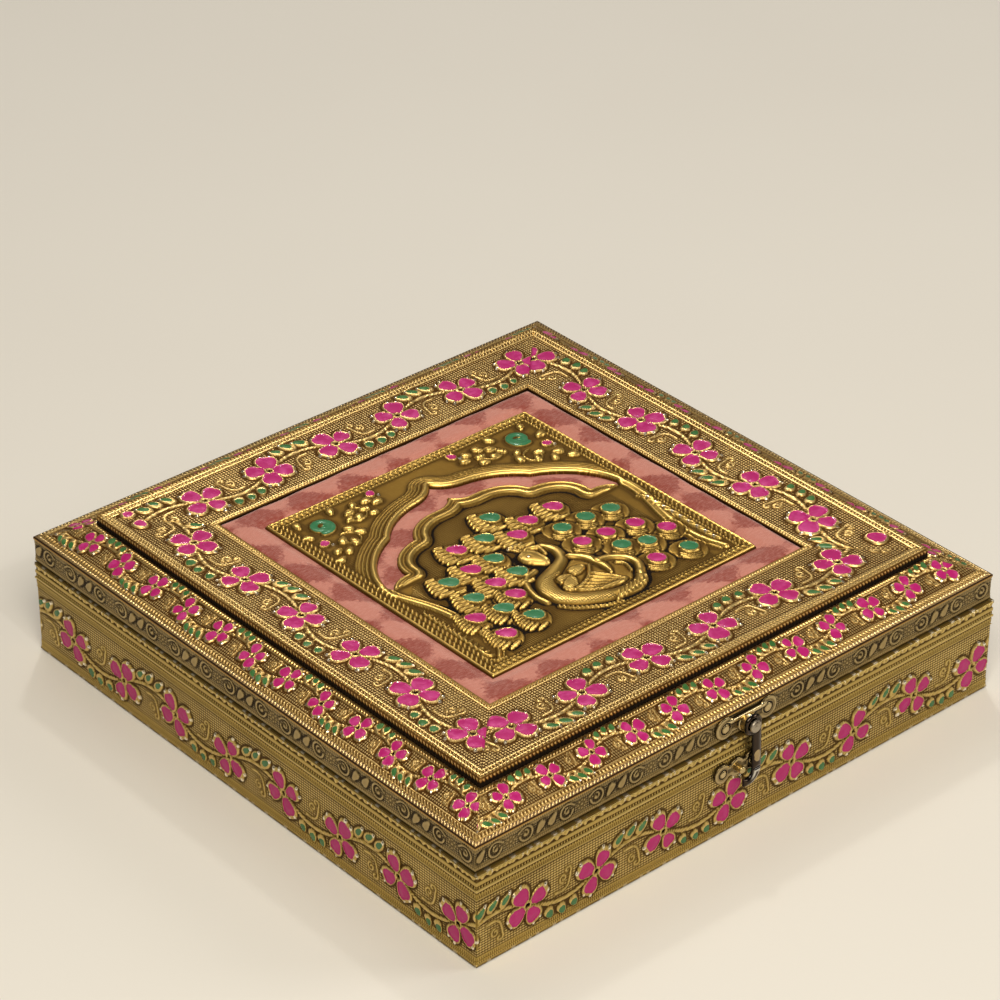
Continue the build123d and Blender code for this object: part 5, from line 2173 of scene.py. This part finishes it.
@dataclass
class Latch:
    """The latch: an upper and a lower plate, each with two nails, and the hook that swings between them."""

    pivot: Place = (-1.0, 44.0)
    upper_nails: tuple[Place, Place] = ((-11.3, 45.2), (9.3, 45.2))
    catch: Place = (-6.15, 27.3)
    upper_back: float = -125.4
    lower_back: float = -126.9
    hook_back: float = -128.7
    bend: float = 6.2  # outer radius of the hook's bend
    mouth: float = 2.6  # its inner radius
    eye: float = 4.2  # radius of the hook's eye

    def upper_plate(self, material: Material) -> None:
        """A bar with three lobes: rolled top rail, rings round the nails and sunk cheeks between.

        Args:
            material: Its finish.
        """
        (left, z), (right, _) = self.upper_nails
        plate = FrontPlate("latch_upper_plate", "lid", ["latch_plate", "latch_nails"], self.upper_back, 0.45,
                           lobed_bar(*self.upper_nails, 3.0, 4.6, (*self.pivot, 4.2)), (-16.2, 39.4),
                           (14.2, 50.2))
        relief, inside = plate.blank()
        relief.raise_all(0.20)
        relief.raise_all(0.42 * round_top(inside - 1.0))
        relief.stroke(np.array([(left + 1.5, z + 2.2), (right - 1.5, z + 2.2)]), 1.25, 0.95)
        for nail in self.upper_nails:
            relief.ring(*nail, 2.6, 0.45, 0.42, pit=0.12)
            relief.dome(*nail, 1.9, 0.95, foot=0.25, moat=0.0)
        relief.ring(*self.pivot, 3.5, 0.7, 0.72, pit=0.12)
        plate.build(relief, inside, material)

    def lower_plate(self, material: Material) -> None:
        """A bar with three lobes and a ring round each nail.

        Args:
            material: Its finish.
        """
        x, z = self.catch
        nails = ((x - 7.1, z), (x + 7.1, z))
        plate = FrontPlate("latch_lower_plate", "tray", ["catch_plate", "catch_nails"], self.lower_back, 0.45,
                           lobed_bar(*nails, 2.3, 3.8, (x, z, 3.8)), (x - 11.2, z - 4.1), (x + 11.2, z + 4.1))
        relief, inside = plate.blank()
        relief.raise_all(0.18)
        relief.raise_all(0.42 * round_top((inside - 0.9) / 0.9))
        for nail in nails:
            relief.ring(*nail, 2.2, 0.4, 0.40, pit=0.10)
            relief.dome(*nail, 1.6, 0.85, foot=0.2, moat=0.0)
        plate.build(relief, inside, material)

    def hook(self, material: Material) -> None:
        """The hook: its face is a dome of the distance from its edge, with a raised eye.

        Args:
            material: Its finish.
        """
        x, z = self.pivot
        middle = (x - 1.4, z - 19.5)
        mouth = (middle[0] - 0.6, middle[1] - 0.5)
        tip = middle[0] - 2.1
        corners = np.array([(x, z - 2.94), (x + 4.116, z - 0.84), (middle[0] + self.bend, middle[1]),
                            (mouth[0] + self.mouth, middle[1])])

        def outline(s: Array, t: Array) -> Array:
            """Eye, arm and half round bend, less the mouth, the cut tip and the rivet's hole.

            Args:
                s: Places along.
                t: Places across.

            Returns:
                The distance inside the hook.
            """
            eye = np.hypot(s - x, t - z)
            bend = np.minimum(self.bend - np.hypot(s - middle[0], t - middle[1]), middle[1] - t)
            solid = np.maximum(np.maximum(self.eye - eye, polygon_distance(corners, s, t)), bend)
            cut = np.minimum(np.hypot(s - mouth[0], t - mouth[1]) - self.mouth, eye - 1.65)
            return np.minimum(np.minimum(solid, cut), s - tip)

        plate = FrontPlate("latch_hook_bronze", "hook", ["latch_hook"], self.hook_back, 0.5, outline,
                           (-6.2, 17.6), (5.2, 48.8), step=0.2, rounding=0.35)
        relief, inside = plate.blank()
        relief.height = 1.08 * round_top(1 - np.clip(inside / 2.5, 0, 1))
        # painted highlight: a white line along the outer edge of the bend; and a pale gold patch on the arm's
        # face, painted in the rose layer, standing for a reflection
        lit = smooth(-relief.t, -middle[1] - 1.0, -middle[1] + 0.5)
        relief.polish = 0.95 * bell(inside, 0.95, 0.38) * smooth(relief.s, x - 1.0, x + 1.4) * lit
        worn = 1.0 - np.hypot((relief.s - x - 2.2) / 1.5, (relief.t - z + 13.8) / 2.6)
        relief.paint[Paint.ROSE] = np.where(inside > 0.4, worn, -1.0)
        eye = np.hypot(relief.s - x, relief.t - z)
        collar = 0.55 + 0.4 * smooth(eye, 3.0, 3.4) * (1 - smooth(eye, 3.6, 3.9))
        relief.height = np.where(eye < 3.9, np.minimum(relief.height, collar), relief.height)
        plate.build(relief, inside, material)


@dataclass
class Hardware:
    """Plain parts that keep their solids and take a better finish."""

    def dress(self) -> None:
        """Gives each group of nodes its material."""
        grey = CastMetal("worn_rivet", (0.42, 0.36, 0.27), (0.10, 0.075, 0.05), 0.5, 0.42)
        brass = CastMetal("worn_brass", (0.55, 0.42, 0.19), (0.14, 0.085, 0.035), 0.42, 0.30)
        along = SawnWood("mango_wood")
        across = SawnWood("mango_wood_across", across=True)
        sides = ("front", "back"), ("left", "right")
        boards = [["base_floor_board", "lid_panel"], []]
        for index, pair in enumerate(sides):
            for side in pair:
                boards[index] += [f"base_{side}_wall", f"lid_{side}_rail", f"frame_{side}_lath"]
        hinges = [f"hinge_{side}_{part}" for side in ("left", "right")
                  for part in ("base_leaf", "lid_leaf", "pin")]
        groups = {
            grey: ["latch_rivet"],
            brass: [*hinges, "base_hinge_nails", "lid_hinge_nails", "latch_washer", "catch_pin"],
            along: boards[0],
            across: boards[1],
        }
        for finish, nodes in groups.items():
            material = finish.material()
            for node in nodes:
                for slot in bpy.data.objects[node].material_slots:
                    slot.material = material
                LOG.info("%s: dressed with %s", node, finish.name)


# Studio.

@dataclass
class Studio:
    """Pale floor, soft lamps and the camera."""

    target: Triple = (49.22, 62.25, 25.4)
    azimuth: float = -41.34
    elevation: float = 32.03
    roll: float = 0.26
    distance: float = 1448.0
    lens: float = 132.7
    lit: Triple = (0.0, 0.0, 0.03)  # where the lamps face, in metres

    def put(self, name: str, data: bpy.types.ID, place: Array, back: Array, roll: float = 0.0
            ) -> bpy.types.Object:
        """Puts a camera or a lamp in its place.

        Its right side is level, square to its back and to the upright, before it is rolled.

        Args:
            name: Name of the object.
            data: The camera or the light.
            place: Where it stands, in metres.
            back: The unit vector that it faces away from.
            roll: Its roll in radians.

        Returns:
            The object.
        """
        right = np.cross(-back, [0.0, 0.0, 1.0])
        right /= np.linalg.norm(right)
        up = np.cross(right, -back)
        across = right * math.cos(roll) + up * math.sin(roll)
        above = up * math.cos(roll) - right * math.sin(roll)
        item = bpy.data.objects.new(name, data)
        bpy.context.scene.collection.objects.link(item)
        item.matrix_world = Matrix([*np.stack([across, above, back, place], axis=1).tolist(), (0, 0, 0, 1)])
        return item

    def camera(self) -> None:
        """Looks at the target from an azimuth and elevation, rolled a little."""
        az, el, roll = (math.radians(angle) for angle in (self.azimuth, self.elevation, self.roll))
        back = np.array([math.sin(az) * math.cos(el), -math.cos(az) * math.cos(el), math.sin(el)])
        data = bpy.data.cameras.new("camera")
        data.lens, data.sensor_width = self.lens, 36.0
        data.clip_start, data.clip_end = 0.05, 40.0
        place = (np.array(self.target) + back * self.distance) * MM
        bpy.context.scene.camera = self.put("camera", data, place, back, roll)

    def lamp(self, name: str, place: Triple, size: float, power: float, colour: Colour) -> None:
        """A square soft lamp at a place in metres, facing the box.

        Args:
            name: Its name.
            place: Where it stands, in metres.
            size: Length of its sides in metres.
            power: Its power in watts.
            colour: Its colour.
        """
        data = bpy.data.lights.new(name, "AREA")
        data.shape, data.size, data.energy, data.color = "SQUARE", size, power, colour
        away = np.array(place) - self.lit
        self.put(name, data, np.array(place), away / np.linalg.norm(away))

    def floor(self) -> None:
        """A wide pale floor with a faint unevenness."""
        mesh = bpy.data.meshes.new("floor")
        half = 6.0
        corners = [(-half, -half, 0), (half, -half, 0), (half, half, 0), (-half, half, 0)]
        mesh.from_pydata(corners, [], [(0, 1, 2, 3)])
        nodes = Nodes("floor_cloth")
        cloud = nodes.noise(nodes.solid_place(), 5.0, 2.0)
        colour = nodes.mix(cloud, (0.80, 0.765, 0.69), (0.77, 0.73, 0.655))
        mesh.materials.append(nodes.finish(Base_Color=colour, Roughness=0.75, Specular_IOR_Level=0.3))
        floor = bpy.data.objects.new("floor", mesh)
        bpy.context.scene.collection.objects.link(floor)

    def sky(self) -> None:
        """A plain warm surround."""
        world = bpy.data.worlds.new("surround")
        world.use_nodes = True
        background = world.node_tree.nodes["Background"]
        background.inputs[0].default_value = (1.0, 0.95, 0.88, 1.0)
        background.inputs[1].default_value = 0.15
        bpy.context.scene.world = world

    def build(self) -> None:
        """Sets the whole studio up."""
        bpy.context.scene.view_settings.view_transform = "Standard"
        self.camera()
        self.floor()
        self.sky()
        self.lamp("key", (-0.81, -0.95, 1.49), 0.92, 26.5, (1.0, 0.94, 0.83))
        self.lamp("side", (1.7, -1.3, 1.3), 0.9, 14.0, (1.0, 0.97, 0.94))
        self.lamp("over", (0.5, 1.0, 1.9), 0.9, 6.5, (1.0, 0.96, 0.90))
        self.lamp("spark", (0.62, 0.80, 1.35), 0.10, 3.0, (1.0, 0.98, 0.95))
        self.lamp("glint", (-0.3, -1.7, 1.7), 0.10, 5.0, (1.0, 0.98, 0.95))


# The box.

def main() -> None:
    """Builds every sub-assembly."""
    logging.basicConfig(level=logging.INFO, format="%(name)s: %(message)s")
    Studio().build()
    tray = EmbossedBrass("tray_relief", Ground.DASHED, gold=(0.45, 0.310, 0.072), bright=(0.78, 0.58, 0.22),
                         recess=(0.10, 0.055, 0.014), rose=(0.40, 0.013, 0.125),
                         rose_pale=(0.46, 0.025, 0.17), leaf=(0.045, 0.15, 0.050), mesh_dark=0.75,
                         grime=1.25, gloss=0.12)
    dark = EmbossedBrass("lid_side_relief", Ground.FINE, gold=(0.30, 0.21, 0.080), bright=(0.58, 0.44, 0.21),
                         recess=(0.035, 0.023, 0.010), tarnish=0.22, roughness=0.42)
    bevel = EmbossedBrass("bevel_relief", Ground.CLOSE)
    top = EmbossedBrass("frame_relief", Ground.STUDDED, gold=(0.76, 0.475, 0.135), mesh_dark=0.82)
    plaque = EmbossedBrass("plaque_relief", Ground.FINE, gold=(0.32, 0.180, 0.031), bright=(1.00, 0.66, 0.18),
                           recess=(0.125, 0.066, 0.012), roughness=0.38, grime=1.20, tarnish=0.22,
                           blotches=0.9, leaf=(0.035, 0.19, 0.075), leaf_pale=(0.09, 0.26, 0.13))
    TraySides("tray", "tray_brass", "base_{}_cladding", "tray_{}_relief", 0.0, 1.0, tray).build()
    LidSides("lid", "dark_brass", "lid_{}_cladding", "lid_{}_relief", LID_MIDDLE, 0.5, dark).build()
    Bevels("lid", "bevel_brass", "bevel_{}_cladding", "bevel_{}_relief", LID_MIDDLE, 0.9, bevel).build()
    FrameSides("lid", "frame_brass", "frame_{}_cladding", "frame_{}_relief", LID_MIDDLE, 1.0, top).build()
    Plaque().build(plaque)
    VelvetPanel().build(PrintedVelvet("printed_velvet"))
    cloth = PlainCloth("lining_velvet", (0.24, 0.012, 0.022), (0.10, 0.004, 0.010)).material()
    Lining("base_floor_lining", "tray", "lining_velvet", 2, 1, "base_floor_board").build(cloth)
    for side, axis, sign in (("front", 1, 1), ("back", 1, -1), ("left", 0, 1), ("right", 0, -1)):
        Lining(f"base_{side}_lining", "tray", "lining_velvet", axis, sign, f"base_{side}_wall").build(cloth)
    Lining("lid_lining", "lid", "lining_velvet", 2, -1, "lid_panel").build(cloth)
    felt = PlainCloth("underside_felt", (0.035, 0.032, 0.030), (0.012, 0.011, 0.010), sheen=0.25).material()
    Lining("underside_sheet", "tray", "underside_felt", 2, -1, "base_floor_board").build(felt)
    pressed = EmbossedBrass("latch_gold", Ground.FINE, gold=(0.24, 0.170, 0.070), bright=(0.90, 0.72, 0.38),
                            recess=(0.016, 0.011, 0.007), tarnish=0.18, roughness=0.24, grime=1.6,
                            blotches=1.0).material()
    # the rose paint of this finish is the hook's pale gold patch, a painted reflection
    bronze = EmbossedBrass("dark_bronze", Ground.FINE, gold=(0.022, 0.014, 0.009),
                           bright=(0.075, 0.045, 0.022), recess=(0.008, 0.006, 0.005),
                           rose=(0.30, 0.20, 0.075), rose_pale=(0.42, 0.30, 0.12), tarnish=0.10,
                           roughness=0.17, coat=0.30).material()
    latch = Latch()
    latch.upper_plate(pressed)
    latch.lower_plate(pressed)
    latch.hook(bronze)
    Hardware().dress()


if __name__ == "__main__":
    main()
